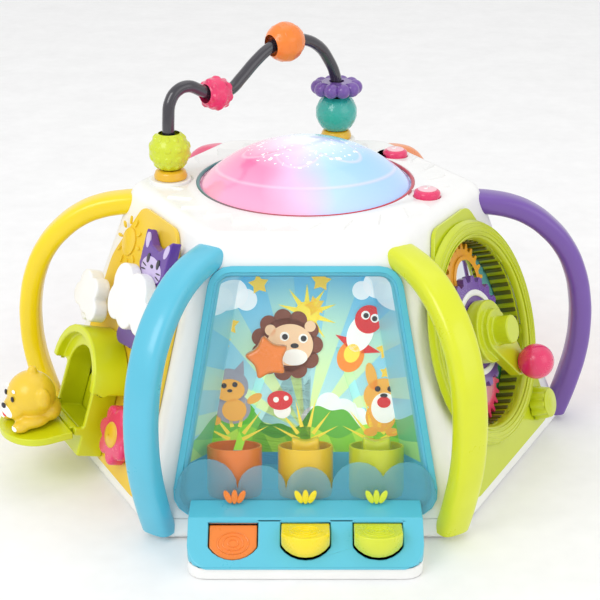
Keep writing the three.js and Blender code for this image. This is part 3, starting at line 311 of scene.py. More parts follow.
def arc(radius, rise, foot, steps):
    ball = (radius ** 2 + rise ** 2) / (2 * rise)
    turns = [math.asin(radius / ball) * (1 - i / steps) for i in range(steps + 1)]
    return [[max(ball * math.sin(t), 0.000004), foot + rise - ball + ball * math.cos(t)] for t in turns]


def cloud_line(place):
    """Height of the raised cloud outline and of the plain ring inside the rim."""
    x, y = place.along((1000, 0, 0)), place.along((0, 1000, 0)) - 6.0
    turn = y.maths("ARCTAN2", x)
    reach = (x * x + y * y).maths("SQRT")
    lobes = (turn * 3 + 0.5).maths("SINE").maths("ABSOLUTE") * 14 + 30
    height = (1.0 - (reach - lobes).maths("ABSOLUTE") / 2.0).maths("MAXIMUM", 0.0)
    return height + (1.0 - (reach - 61.0).maths("ABSOLUTE") / 1.6).maths("MAXIMUM", 0.0)


def lamps(place):
    """Where the lamps below shine: pink on the left, green behind, blue in front on the right."""
    x, y = place.along((14, 0, 0)), place.along((0, 14, 0))
    drift = place.noise(26) * 0.3 - 0.15
    warm = ((0.06 - x - y * 0.25 + drift) * 1.6).maths("MAXIMUM", 0.0).maths("MINIMUM", 1.0)
    green = ((y * 1.1 - 0.12 + drift) * 1.5).maths("MAXIMUM", 0.0).maths("MINIMUM", 1.0)
    edge = ((x * x + y * y).maths("SQRT") * 1.1 - 0.45).maths("MAXIMUM", 0.0).maths("MINIMUM", 1.0) * 0.55
    cold = (x * 0.5 + 0.45).maths("MAXIMUM", 0.0).maths("MINIMUM", 1.0).blend(tone(196, 226, 250),
        tone(84, 172, 246))
    lit = warm.blend(green.blend(cold, tone(140, 222, 160)), tone(248, 104, 158))
    heart = (1.0 - (x * x + y * y).maths("SQRT") * 1.7).maths("MAXIMUM", 0.0) * 0.75
    lit = heart.blend(edge.blend(lit, tone(232, 224, 244)), tone(250, 250, 255))
    spark = (place.noise(300, 1) > 0.66) * ((x * x + y * y) < 0.3)
    return spark.blend((cloud_line(place) * 0.4).blend(lit, tone(240, 214, 232)), tone(255, 255, 255))


dome_paint = plastic("milky_dome", (214, 206, 226), 0.16, 0.6, printed=lambda place, paint: lamps(place),
                     glow=lamps, relief=lambda place: cloud_line(place) * 16, Emission_Strength=0.22)
foot = 0.1805
rim_radius, rise, wall = 0.0719, 0.030, 0.0025
dome = turned(
    [[rim_radius + 0.0023, 0.1757], [rim_radius + 0.0023, 0.1781], [rim_radius, 0.1781]]
    + arc(rim_radius, rise, foot, 22) + arc(rim_radius - wall, rise - wall, foot, 16)[::-1]
    + [[rim_radius - wall, 0.1757], [rim_radius + 0.0023, 0.1757]])
finished(dome, "dome_cap_lit", dome_paint, "dome_cap", "dome_cover", "dome", smooth=35)

# Painted shadow: a dark ring on the dome's rim stands for the shadow gap round the dome, tinted teal at the
# back and left and red at the front and right.
bpy.ops.object.select_all(action="DESELECT")
bpy.ops.mesh.primitive_torus_add(major_radius=0.0733, minor_radius=0.0013, major_segments=96,
                                 minor_segments=12,
                                 location=(0, 0, 0.1813))
rim_gap_shadow = plastic("rim_gap_painted_shadow", (40, 120, 125), 0.3, printed=lambda place, paint:
               (place.along((9, -7, 0)) + 0.5).maths("MAXIMUM", 0.0).maths("MINIMUM", 1.0)
               .blend(paint, tone(190, 30, 60)))
finished(bpy.context.object, "dome_rim_painted_shadow_ring", rim_gap_shadow, "casing", "teal_shell")

# Melody buttons. Two small pink push buttons beside the dome, each a skirted cap with a pale top that
# carries a raised note, guided in a hole in the deck.
pink = plastic("pink_plastic", (229, 44, 103), 0.26, 0.5)
pale = plastic("pale_pink", (246, 196, 205), 0.3, 0.4)
for node, body, x, y in (("melody_button_front", "front_button", 0.0805, -0.031),
                         ("melody_button_rear", "rear_button", 0.065, 0.059)):
    cap = turned([[0.0004, 0.1763], [0.0104, 0.1763], [0.0104, 0.1781], [0.0088, 0.1781], [0.0088, 0.1836],
                  [0.0083, 0.1846], [0.0072, 0.1853], [0.0066, 0.1855], [0.0055, 0.1860], [0.0028, 0.1863],
                  [0.0004, 0.1864]], 64, (x, y, 0))
    finished(cap, node + "_cap", pink, body, "pink_shell", node)
    note = turned([[0.0062, 0.1852], [0.0062, 0.1861], [0.0055, 0.18645], [0.0004, 0.1866]], 48, (x, y, 0))
    finished(note, node + "_top", pale, body, "pink_shell")
    bpy.ops.object.select_all(action="DESELECT")
    bpy.ops.mesh.primitive_uv_sphere_add(segments=20, ring_count=12, radius=0.0014,
                                         location=(x - 0.0012, y - 0.0014, 0.1867), scale=(1, 0.8, 0.35))
    head = bpy.context.object
    bpy.ops.mesh.primitive_cube_add(size=1, location=(x, y + 0.0003, 0.1867),
                                    scale=(0.0005, 0.0036, 0.0007))
    stem = bpy.context.object
    bpy.ops.mesh.primitive_cube_add(size=1, location=(x + 0.0009, y + 0.0019, 0.1867),
                                    scale=(0.002, 0.0007, 0.0007))
    for part in (head, stem, bpy.context.object):
        part.select_set(True)
    bpy.ops.object.join()
    finished(bpy.context.object, node + "_note", white, body, "white_shell")

# Bead wire. A steel rod dipped in glossy dark vinyl, bent into a roller-coaster arch between two yellow
# screw collars on the deck.


def rod(points, radius, rounds=5, steps=10):
    """A round rod along a smooth curve through points."""
    bpy.ops.object.select_all(action="DESELECT")
    bpy.ops.curve.primitive_bezier_curve_add(location=(0, 0, 0))
    piece = bpy.context.object
    line = piece.data.splines[0]
    line.bezier_points.add(len(points) - 2)
    for knot, point in zip(line.bezier_points, points):
        knot.co = point
        knot.handle_left_type = knot.handle_right_type = "AUTO"
    piece.data.resolution_u = steps
    piece.data.bevel_depth = radius
    piece.data.bevel_resolution = rounds
    piece.data.use_fill_caps = True
    bpy.ops.object.convert(target="MESH")
    return bpy.context.object


wire_line = [(-92, 0, 171), (-92, 0, 200), (-92, 0, 225), (-90.5, 2, 236), (-86, 5.5, 242.5),
             (-79, 10, 244.5),
             (-71, 17, 240), (-61.5, 26, 234.5), (-52, 34.5, 236), (-44, 42, 243), (-35, 50, 252),
             (-25, 58.5, 259.5), (-14.5, 67, 263), (-3, 76, 262), (9, 86, 255), (17, 93, 243),
             (22, 96.5, 230),
             (23, 97, 220), (23, 97, 195), (23, 97, 171)]
vinyl = plastic("dark_vinyl", (44, 41, 50), 0.16, 0.8, 0.00003)
wire = rod([[v / 1000 for v in point] for point in wire_line], 0.0042)
finished(wire, "bead_wire_rod", vinyl, "casing", "wire_coat", "bead_wire")
amber = plastic("amber_plastic", (232, 182, 34), 0.3, 0.4)
for node, x, y in (("wire_collar_left", -0.092, 0), ("wire_collar_rear", 0.023, 0.097)):
    collar = turned([[0.0047, 0.1838], [0.011, 0.1838], [0.0113, 0.1846], [0.0113, 0.1862],
                     [0.0108, 0.1868],
                     [0.0108, 0.1874], [0.0103, 0.1886], [0.0091, 0.1897], [0.0075, 0.19], [0.0047, 0.19],
                     [0.0047, 0.1838]], 72, (x, y, 0))
    finished(collar, node + "_nut", amber, "casing", "amber_shell", node)

# Beads. Five hollow rattling beads on the wire: a pimpled lime one that slides, a lobed pink one, a
# dimpled orange one, and a teal one under a purple flower.


def bead(radius, half, bore, around, rows, raise_by, rim=0.0009, bevel=0.0006):
    """A cut ball whose skin is a grid of pads or dimples, bored along z."""
    profile = []
    low = math.asin(half / radius)
    for i in range(rows + 1):
        turn = -low + 2 * low * i / rows
        profile.append([radius * math.cos(turn), radius * math.sin(turn)])
    piece = turned(profile, around)
    bpy.ops.object.mode_set(mode="EDIT")
    mesh = bmesh.from_edit_mesh(piece.data)
    mesh.select_mode = {"FACE"}
    for face in mesh.faces:
        face.select = len(face.verts) == 4
    mesh.select_flush_mode()
    bmesh.update_edit_mesh(piece.data)
    bpy.ops.mesh.inset(thickness=rim, use_individual=True)
    bpy.ops.mesh.inset(thickness=bevel, depth=raise_by, use_individual=True)
    bpy.ops.mesh.inset(thickness=bevel, depth=raise_by * 0.5, use_individual=True)
    bpy.ops.object.mode_set(mode="OBJECT")
    applied(piece, "SUBSURF", levels=2, render_levels=2)
    bpy.ops.object.select_all(action="DESELECT")
    bpy.ops.mesh.primitive_cylinder_add(vertices=48, radius=bore, depth=0.08, location=(0, 0, 0))
    drill = bpy.context.object
    applied(piece, "BOOLEAN", operation="DIFFERENCE", object=drill, solver="EXACT")
    bpy.data.objects.remove(drill)
    return piece


def strung(piece, place, along):
    alone(piece)
    turn = Vector((0, 0, 1)).rotation_difference(Vector(along))
    piece.matrix_world = Matrix.Translation(place) @ turn.to_matrix().to_4x4()
    return piece


lime_bead = plastic("lime_bead_plastic", (204, 217, 34), 0.3, 0.4)
orange = plastic("orange_plastic", (242, 128, 32), 0.28, 0.45)
teal = plastic("teal_plastic", (44, 170, 160), 0.24, 0.6)
purple = plastic("purple_plastic", (112, 76, 160), 0.28, 0.45)
finished(strung(bead(0.0145, 0.0123, 0.0048, 11, 4, 0.0007), (-0.092, 0, 0.2029), (0, 0, 1)),
         "bead_lime_ball", lime_bead, "lime_bead", "lime_shell", "bead_lime", smooth=60)
finished(strung(bead(0.0121, 0.0096, 0.0065, 7, 3, 0.0011, 0.0006, 0.0012), (-0.0615, 0.026, 0.2356),
                (19, 17.5, -3.5)),
         "bead_pink_ball", pink, "pink_bead", "pink_shell", "bead_pink", smooth=60)
finished(strung(bead(0.0148, 0.0122, 0.0065, 9, 5, 0.0004, 0.0024), (-0.0145, 0.067, 0.262),
                (22.5, 17.5, 2.5)),
         "bead_orange_ball", orange, "orange_bead", "orange_shell", "bead_orange", smooth=60)
finished(strung(bead(0.0158, 0.0123, 0.0048, 14, 4, 0.0003, 0.0008, 0.0009), (0.023, 0.097, 0.2029),
                (0, 0, 1)),
         "bead_teal_ball", teal, "teal_bead", "teal_shell", "bead_teal", smooth=60)


def ball(radius, x, y, z, scale=(1, 1, 1)):
    bpy.ops.object.select_all(action="DESELECT")
    bpy.ops.mesh.primitive_uv_sphere_add(segments=40, ring_count=24, radius=radius / 1000,
                                         location=(x / 1000, y / 1000, z / 1000), scale=scale)
    return bpy.context.object


def pooled(parts):
    for part in parts:
        part.select_set(True)
    bpy.context.view_layer.objects.active = parts[0]
    bpy.ops.object.join()
    return bpy.context.object


petal_balls = [ball(5.5, 13.7 * math.cos(k * math.pi / 5), 13.7 * math.sin(k * math.pi / 5), 0)
               for k in range(10)]
core = turned([[0.0056, -0.0046], [0.0115, -0.0046], [0.0122, 0], [0.0115, 0.0046], [0.0056, 0.0046],
               [0.0056, -0.0046]], 64)
finished(strung(pooled([core] + petal_balls), (0.023, 0.097, 0.2219), (0, 0, 1)), "bead_flower_ring",
         purple,
         "flower_bead", "purple_shell", "bead_flower", smooth=50)

# Six grab handles. Each is a bowed, blow-moulded ABS bar with softly squared edges, standing off a corner
# and screwed in at the crest and at the foot. Every corner has its own colour.
handle_line = [(108, 167), (126, 166), (142, 163), (155, 157.5), (168, 148), (180, 134.5), (189, 117),
               (194.5, 96), (196.3, 74), (195, 53), (190.5, 31), (186, 15), (181, 0)]
bpy.ops.object.select_all(action="DESELECT")
bpy.ops.curve.primitive_bezier_circle_add(radius=1)
section = bpy.context.object
section.data.resolution_u = 8
for knot in section.data.splines[0].bezier_points:
    knot.handle_left_type = knot.handle_right_type = "FREE"
    for end in ("handle_left", "handle_right"):
        reach = (getattr(knot, end) - knot.co) * 1.45
        setattr(knot, end, knot.co + reach)
section.scale = (0.0105, 0.0075, 1)
bpy.ops.object.select_all(action="DESELECT")
bpy.ops.curve.primitive_bezier_curve_add(location=(0, 0, 0))
handle = bpy.context.object
line = handle.data.splines[0]
line.bezier_points.add(len(handle_line) - 2)
for knot, (r, z) in zip(line.bezier_points, handle_line):
    knot.co = (r / 1000, 0, z / 1000)
    knot.handle_left_type = knot.handle_right_type = "AUTO"
handle.data.resolution_u = 6
handle.data.bevel_mode = "OBJECT"
handle.data.bevel_object = section
handle.data.use_fill_caps = True
bpy.ops.object.convert(target="MESH")
handle = bpy.context.object
bpy.data.objects.remove(section)
alone(handle)
bpy.ops.object.mode_set(mode="EDIT")
bpy.ops.mesh.select_all(action="SELECT")
bpy.ops.mesh.remove_doubles(threshold=0.000002)
bpy.ops.mesh.bisect(plane_co=(0, 0, 0.005), plane_no=(0, 0, -1), use_fill=True, clear_outer=True)
bpy.ops.mesh.select_all(action="SELECT")
bpy.ops.mesh.normals_make_consistent(inside=False)
bpy.ops.object.mode_set(mode="OBJECT")
grips = (("right", 0, (112, 76, 162), "purple_shell"), ("rear_right", 60, (240, 132, 44), "orange_shell"),
         ("rear_left", 120, (228, 52, 108), "pink_shell"), ("left", 180, (246, 216, 6), "yellow_shell"),
         ("front_left", 240, (86, 188, 215), "blue_shell"),
         ("front_right", 300, (216, 224, 24), "lime_shell"))
for corner, azimuth, colour, slot in grips:
    bar = bpy.data.objects.new("bar", handle.data.copy())
    bpy.context.scene.collection.objects.link(bar)
    bar.rotation_euler = (0, 0, math.radians(azimuth))
    paint = plastic("grip_" + corner + "_plastic", colour, 0.3, 0.35)
    finished(bar, "grip_" + corner, paint, "casing", slot, "handle_" + corner)
bpy.data.objects.remove(handle)

# Stage. A deep blue tub behind a clear window; its walls and back are printed with a sunburst sky over
# green hills, and cut-out motifs stand on the print.
blue = plastic("blue_plastic", (88, 192, 216), 0.3, 0.35)


def stage_print_and_painted_light(place, paint):
    x = place.along((1000, 0, 0))
    y = place.along((0, 318.5, 948)) + 52.4
    depth = place.along((0, -948, 318.5)) - 156.0
    high = y - 62.0
    turn = high.maths("ARCTAN2", x)
    reach = (x * x + high * high).maths("SQRT")
    rays = ((turn * 15.0 + 0.6).maths("SINE") > 0.15) * (1.15 - reach / 95.0).maths("MAXIMUM", 0.0)
    sky = (reach / 120.0).maths("MINIMUM", 1.0).blend(tone(196, 238, 226), tone(20, 158, 206))
    scene = rays.maths("MINIMUM", 0.85).blend(sky, tone(216, 240, 150))
    for cx, cy, r in ((-55, 150, 9), (-47, 152, 10), (-38, 148, 7), (46, 158, 9), (54, 154, 10),
                      (36, 154, 6),
                      (6, 70, 9), (15, 80, 8), (24, 74, 10), (34, 68, 9)):
        puff = ((x - cx) * (x - cx) + (y - cy) * (y - cy)) < r * r
        scene = (puff * 0.9).blend(scene, tone(236, 240, 240))
    far = (x * 0.11).maths("SINE") * 7.0 + (x * 0.29).maths("SINE") * 2.5 + 72.0
    scene = (y < far).blend(scene, tone(92, 176, 52))
    near = (x * 0.16 + 1.4).maths("SINE") * 4.0 + 62.0
    grass = ((x * 0.22 + y * 0.1).maths("SINE") > 0.2).blend(tone(126, 196, 48), tone(168, 216, 66))
    scene = (y < near).blend(scene, grass)
    scene = (y < 49.0).blend(scene, tone(70, 168, 200))
    # Painted shade: the tub's side walls are blended about a third of the way towards a darker blue, where
    # shade falls inside the tub.
    painted_wall_shade = (depth + 35.0).maths("MAXIMUM", 0.0).maths("MINIMUM", 1.0) * 0.35
    scene = painted_wall_shade.blend(scene, tone(60, 150, 180))
    return (depth > -4.0).blend(scene, paint)


# Painted glow: the stage print also glows in its own colours, standing in for light that the deep tub keeps
# from the print.
stage_paint_and_glow = plastic("stage_print_and_painted_light", (88, 192, 216), 0.38, 0.1, printed=stage_print_and_painted_light,
                      glow=lambda place: stage_print_and_painted_light(place, tone(0, 0, 0)), Emission_Strength=0.3)
moulded("stage_back", stage_paint_and_glow, "blue_shell", 0.0005)


# Each side's direction round the body, in degrees from +X.
front_side = -90
gear_side = -30
right_rear_side = 30
house_side = 210


def side_frame(azimuth):
    """Across, up the slope and straight out of one side, from the middle of its foot."""
    turn = math.radians(azimuth)
    out = Vector((math.cos(turn), math.sin(turn), 0))
    across = Vector((-math.sin(turn), math.cos(turn), 0))
    up = (Vector((0, 0, 1)) - out * 0.388 * math.cos(math.pi / 6)).normalized()
    place = Matrix.Translation(out * 0.190 * math.cos(math.pi / 6))
    return place @ Matrix((across, up, across.cross(up))).transposed().to_4x4()


def on_side(piece, azimuth, inner=None):
    alone(piece)
    bpy.ops.object.transform_apply(location=True, rotation=True, scale=True)
    piece.matrix_world = side_frame(azimuth) @ (inner or Matrix())
    bpy.ops.object.transform_apply(location=True, rotation=True, scale=True)
    return piece


def star(radius, waist, low, high, ease, x=0.0, y=0.0, turn=0.0):
    """A five-pointed star plate with softened edges."""
    bpy.ops.object.select_all(action="DESELECT")
    bpy.ops.mesh.primitive_cylinder_add(vertices=10, radius=radius, depth=high - low,
                                        location=(0, 0, (high + low) / 2), rotation=(0, 0, 0))
    piece = bpy.context.object
    bpy.ops.object.transform_apply(location=True)
    bpy.ops.object.mode_set(mode="EDIT")
    choose(piece, lambda number, place: math.floor(math.atan2(place.y, place.x) / math.pi * 5 + 10.01) % 2)
    bpy.ops.transform.resize(value=(waist, waist, 1), center_override=(0, 0, 0))
    bpy.ops.object.mode_set(mode="OBJECT")
    if ease:
        applied(piece, "BEVEL", width=ease, segments=3, limit_method="ANGLE", use_clamp_overlap=True)
    piece.rotation_euler = (0, 0, math.radians(turn))
    piece.location = (x, y, 0)
    return piece


def disc(radius, x, y, low, high, stretch=(1, 1), turn=0.0, sides=40, ease=0.0):
    bpy.ops.object.select_all(action="DESELECT")
    bpy.ops.mesh.primitive_cylinder_add(vertices=sides, radius=radius, depth=high - low,
                                        scale=(*stretch, 1),
                                        location=(x, y, (high + low) / 2),
                                        rotation=(0, 0, math.radians(turn)))
    piece = bpy.context.object
    if ease:
        bpy.ops.object.transform_apply(location=True, rotation=True, scale=True)
        applied(piece, "BEVEL", width=ease, segments=3, limit_method="ANGLE", use_clamp_overlap=True)
    return piece


back = -0.0361
# Painted glow: each cut-out card glows faintly in its own colour, standing in for light that the deep tub
# keeps out.
card = {name: plastic(name, colour, 0.45, 0.1, Emission_Color=tone(*colour), Emission_Strength=0.22)
        for name, colour in (
    ("card_gold", (246, 204, 66)), ("card_brown", (122, 62, 40)), ("card_tan", (240, 202, 160)),
    ("card_red", (216, 38, 44)), ("card_white", (250, 248, 240)), ("card_black", (38, 34, 38)),
    ("card_grey", (150, 152, 166)), ("card_caramel", (238, 172, 66)), ("card_flame", (248, 140, 40)),
    ("card_yellow", (252, 226, 70)))}


def cut_out(name, paint, parts):
    """Flat motif pieces glued to the stage print."""
    piece = on_side(pooled([shape(*values) for shape, *values in parts]), front_side)
    return finished(piece, name, card[paint], "casing", "blue_shell")


low, mid, top, tip = back, back + 0.0006, back + 0.0011, back + 0.0015
eye_high = tip + 0.0004
nose_high = tip + 0.0005
glint_high = tip + 0.0007
cut_out("stage_stars", "card_gold", [
    (star, 0.0068, 0.55, low, mid, 0, x, y, turn) for x, y, turn in
    ((-0.030, 0.158, 8), (0.010, 0.160, -6), (0.006, 0.144, 12), (-0.049, 0.132, 0),
     (0.052, 0.116, 10))] + [
    (star, 0.0044, 0.55, low, mid, 0, x, y, turn) for x, y,
    turn in ((-0.052, 0.121, 5), (0.052, 0.101, -8))])
cut_out("stage_bursts", "card_yellow", [
    (disc, 0.0035, x + reach * math.sin(math.radians(lean)), 0.055 + reach * math.cos(math.radians(lean)),
     low, mid, (0.42, 3.6), -lean, 3)
    for x in (-0.045, 0.0, 0.045) for lean, reach in ((-62, 0.011), (-38, 0.014), (-13, 0.017), (13, 0.017),
                                                      (38, 0.014), (62, 0.011))])
cut_out("stage_flash", "card_yellow", [
    (disc, 0.0035, 0.001 + 0.011 * math.sin(a), 0.139 + 0.011 * math.cos(a), low, mid, (0.6, 2.4),
     -math.degrees(a), 3) for a in [k * math.pi / 5 for k in range(10)]] + [(disc, 0.008, 0.001, 0.139, low,
         mid)])
cut_out("stage_mane", "card_brown", [
    (disc, 0.0175, -0.012, 0.119, mid, top)] + [
    (disc, 0.0058, -0.012 + 0.0175 * math.cos(a), 0.119 + 0.0175 * math.sin(a), mid, top, (1, 1), 0, 24)
    for a in [k * math.pi / 5.5 for k in range(11)]])
cut_out("stage_round_face", "card_tan", [(disc, 0.0142, -0.010, 0.119, top, tip, (1.05, 0.95)),
                                         (disc, 0.0036, -0.0225, 0.1285, top, tip),
                                         (disc, 0.0036, 0.003, 0.131, top, tip)])
cut_out("stage_face_white", "card_white", [
    (disc, 0.0066, -0.007, 0.111, tip, eye_high, (1.25, 0.8)),
    (disc, 0.0030, -0.0015, 0.1232, tip, eye_high),
    (disc, 0.0030, -0.0135, 0.1245, tip, eye_high),
    (disc, 0.0096, 0.0352, 0.1265, mid, top, (0.85, 1.3), -22),
    (disc, 0.0086, 0.051, 0.078, top, tip, (1.0, 1.15)), (disc, 0.0028, 0.0385, 0.1382, tip, eye_high),
    (disc, 0.0028, 0.0445, 0.1362, tip, eye_high)])
cut_out("stage_face_dark", "card_black", [
    (disc, 0.0019, -0.0012, 0.1232, eye_high, glint_high),
    (disc, 0.0019, -0.0132, 0.1243, eye_high, glint_high),
    (disc, 0.0020, -0.007, 0.1185, tip, nose_high, (1.3, 0.8)),
    (disc, 0.0017, 0.0388, 0.138, eye_high, glint_high),
    (disc, 0.0017, 0.0443, 0.136, eye_high, glint_high), (disc, 0.0018, 0.0465, 0.0905, tip, eye_high),
    (disc, 0.0018, 0.0545, 0.0905, tip, eye_high),
    (disc, 0.0017, 0.0505, 0.0862, tip, nose_high, (1.4, 0.8))])
cut_out("stage_rocket_red", "card_red", [
    (disc, 0.0092, 0.0405, 0.1355, top, tip, (0.95, 1.0), -22),
    (disc, 0.0062, 0.0262, 0.1215, low, mid, (0.7, 1.3), 60, 3),
    (disc, 0.0062, 0.0405, 0.1160, low, mid, (0.7, 1.3), -105, 3),
    (disc, 0.0078, -0.0165, 0.083, top, tip, (1.05, 0.8)),
    (disc, 0.0036, 0.0505, 0.0818, tip, nose_high, (1.2, 1.0))])
cut_out("stage_flame", "card_flame", [(disc, 0.0085, 0.0290, 0.1115, low, mid, (1.0, 1.25), -22)])
cut_out("stage_flame_core", "card_yellow", [(disc, 0.0050, 0.0298, 0.1135, mid, top, (1.0, 1.25), -22)])
cut_out("stage_puppy", "card_caramel", [
    (disc, 0.0118, 0.0505, 0.0860, mid, top, (1.1, 0.95)),
    (disc, 0.0056, 0.0425, 0.0985, mid, top, (0.62, 1.6), 12),
    (disc, 0.0056, 0.0620, 0.0945, mid, top, (0.62, 1.6), -55),
    (disc, 0.0098, 0.0485, 0.0720, low, mid, (1.0, 1.0), 20),
    (disc, 0.0034, 0.042, 0.062, low, mid, (1.3, 0.8)), (disc, 0.0034, 0.056, 0.062, low, mid, (1.3, 0.8))])
cut_out("stage_tabby", "card_grey", [
    (disc, 0.0125, -0.050, 0.0920, low, mid, (1.05, 0.92)),
    (disc, 0.0052, -0.0595, 0.1015, low, mid, (0.8, 1.1), 25, 3),
    (disc, 0.0052, -0.042, 0.1035, low, mid, (0.8, 1.1), -20, 3),
    (disc, 0.0105, -0.047, 0.0775, low, mid, (1.1, 0.95)),
    (disc, 0.0032, -0.063, 0.0750, low, mid, (0.8, 2.6), 30)])
cut_out("stage_tabby_tan", "card_caramel", [
    (disc, 0.0085, -0.049, 0.0895, mid, top, (1.15, 0.85)),
    (disc, 0.0072, -0.046, 0.0765, mid, top, (1.1, 1.0)),
    (disc, 0.0034, -0.033, 0.084, low, mid, (1.6, 0.8), 30), (disc, 0.0034, -0.058, 0.0700, low, mid)])
cut_out("stage_tabby_eyes", "card_black", [
    (disc, 0.0017, -0.0525, 0.0925, top, tip), (disc, 0.0017, -0.0455, 0.0932, top, tip),
    (disc, 0.0013, -0.0488, 0.0892, top, tip, (1.3, 0.8))])
cut_out("stage_button_cap", "card_white", [
    (disc, 0.0056, -0.0150, 0.0765, mid, top, (1.0, 0.95)), (disc, 0.0018, -0.0190, 0.0835, tip, eye_high),
    (disc, 0.0016, -0.0125, 0.0845, tip, eye_high)])

# Stage backing. A printed card behind the tub closes the star slots from the dark inside.
bpy.ops.object.select_all(action="DESELECT")
bpy.ops.mesh.primitive_cube_add(size=1, location=(0, 0.089, -0.0425), scale=(0.118, 0.124, 0.0012))
backing = bpy.context.object
bpy.ops.object.transform_apply(location=True, rotation=True, scale=True)
applied(backing, "BEVEL", width=0.0003, segments=2)
# Painted glow: the backing card glows in the stage print's colours, standing in for light that does not
# reach behind the tub.
backing_paint_and_glow = plastic("backing_print_and_painted_glow", (120, 196, 120), 0.5, 0.0, printed=stage_print_and_painted_light,
                        glow=lambda place: stage_print_and_painted_light(place, tone(0, 0, 0)), Emission_Strength=0.55)
finished(on_side(backing, front_side), "stage_backing_card", backing_paint_and_glow, "casing", "blue_shell")

# Window and pond cover. A clear polycarbonate pane closes the stage, and a tinted lip shaped like pond
# water is clipped over its foot so that the cups stand half behind it.
clear = plastic("clear_window", (235, 246, 250), 0.05, 0.2, 0.000005, Alpha=0.02)
moulded("stage_window", clear, "clear_cover", 0.0003)
tinted = plastic("tinted_pond", (104, 186, 208), 0.12, 0.6, 0.00001, Alpha=0.34)
moulded("pond_cover", tinted, "tinted_cover", 0.0005)

# Cups. Three straight-sided ABS cups, orange, yellow and lime, pressed to the stage back with their
# mouths up, where the stars jump out of them.
cup_paints = {"orange": plastic("cup_orange_plastic", (234, 122, 24), 0.34, 0.3),
              "yellow": plastic("cup_yellow_plastic", (240, 196, 6), 0.34, 0.3),
              "lime": plastic("cup_lime_plastic", (204, 212, 10), 0.34, 0.3)}
for colour, paint in cup_paints.items():
    moulded("cup_" + colour, paint, colour + "_shell", 0.0004, crease=30)

# Stars. Puffy moulded stars with a stub arm behind, each on a stem that rides in a slot of the stage
# back; the orange one is up in the air and the other two wait in their cups.
star_paints = {"orange": orange, "yellow": plastic("star_yellow_plastic", (246, 206, 8), 0.3, 0.4),
               "lime": plastic("star_lime_plastic", (208, 218, 20), 0.3, 0.4)}
for colour, across, lean, lifted in (("orange", -0.045, 0.32, 0.066), ("yellow", 0.0, 0.0, 0.0),
                                     ("lime", 0.045, -0.32, 0.0)):
    puffy = star(0.0152, 0.60, -0.0241, -0.0125, 0, turn=12 if lifted else 36)
    bpy.ops.object.transform_apply(location=True, rotation=True, scale=True)
    applied(puffy, "BEVEL", width=0.0022, segments=3, limit_method="ANGLE", use_clamp_overlap=True)
    applied(puffy, "REMESH", mode="VOXEL", voxel_size=0.0005)
    applied(puffy, "SMOOTH", factor=1.0, iterations=14)
    bpy.ops.object.select_all(action="DESELECT")
    bpy.ops.mesh.primitive_cube_add(size=1, location=(0, 0, -0.0322), scale=(0.0034, 0.0038, 0.0166))
    stem = bpy.context.object
    bpy.ops.mesh.primitive_cube_add(size=1, location=(0, 0, -0.03945), scale=(0.0118, 0.0138, 0.0018))
    shoe = bpy.context.object
    whole = pooled([puffy, stem, shoe])
    whole.location = (across + lean * lifted, (0.047 if lifted else 0.0505) + lifted, 0)
    finished(on_side(whole, front_side), "jumping_star_" + colour, star_paints[colour], colour + "_star",
             colour + "_shell", "star_" + colour, smooth=60)

# Key tray. A blue ABS desk that stands out from the foot of the stage on the white base slab. Three
# wide keys pivot on one steel pin under its crease.
moulded("tray_cover", blue, "blue_shell", 0.0009, 3)
moulded("key_axle", steel, "steel_pin", 0.0002)
key_paints = {"orange": orange, "yellow": plastic("key_yellow_plastic", (250, 222, 8), 0.28, 0.4),
              "lime": plastic("key_lime_plastic", (214, 224, 44), 0.28, 0.4)}
axle_y, axle_z = -0.1815, 0.0254
drop = math.degrees(math.atan2(28 - 8.3, 206 - 181))
for colour, across, tilt in (("orange", -0.0435, -drop), ("yellow", 0.0, 46 - drop),
                             ("lime", 0.0435, 46 - drop)):
    moulded("key_" + colour, key_paints[colour], colour + "_shell", 0.0008, 3, crease=30)
    rings = []
    for radius in (0.0028, 0.0056, 0.0084):
        bpy.ops.object.select_all(action="DESELECT")
        bpy.ops.mesh.primitive_torus_add(major_radius=radius, minor_radius=0.00055, major_segments=48,
                                         minor_segments=8, location=(0, 0.0135, 0))
        bpy.context.object.scale = (1.1, 0.8, 1)
        rings.append(bpy.context.object)
    ripple = pooled(rings)
    bpy.ops.object.transform_apply(location=True, rotation=True, scale=True)
    swing = math.radians(tilt)
    ripple.matrix_world = Matrix(((-1, 0, 0, across), (0, -math.cos(swing), math.sin(swing), axle_y),
                                  (0, math.sin(swing), math.cos(swing), axle_z), (0, 0, 0, 1)))
    finished(ripple, "key_ripple_" + colour, key_paints[colour], colour + "_key", colour + "_shell")
    bpy.ops.object.select_all(action="DESELECT")
    leaves = [disc(0.0026, across + shift, 0.0, 0.0, 0.0022, (0.75, 1.7), lean, 24, 0.0006)
              for shift, lean in ((-0.0042, 28), (0.0, 0), (0.0042, -28))]
    tuft = pooled(leaves)
    bpy.ops.object.transform_apply(location=True, rotation=True, scale=True)
    tuft.matrix_world = Matrix(((1, 0, 0, 0), (0, 0.3, -0.95, -0.1645), (0, 0.95, 0.3, 0.0325),
                                (0, 0, 0, 1)))
    finished(tuft, "tray_tuft_" + colour, key_paints[colour], "casing", colour + "_shell")

# House side panel. An arched amber plate screwed to the body, with a moulded sun, and thin raised
# bands on its face.


def sunny(place, paint):
    glow = (place.noise(30, 2) * 0.5).maths("MINIMUM", 1.0)
    return glow.blend(paint, tone(244, 212, 60))


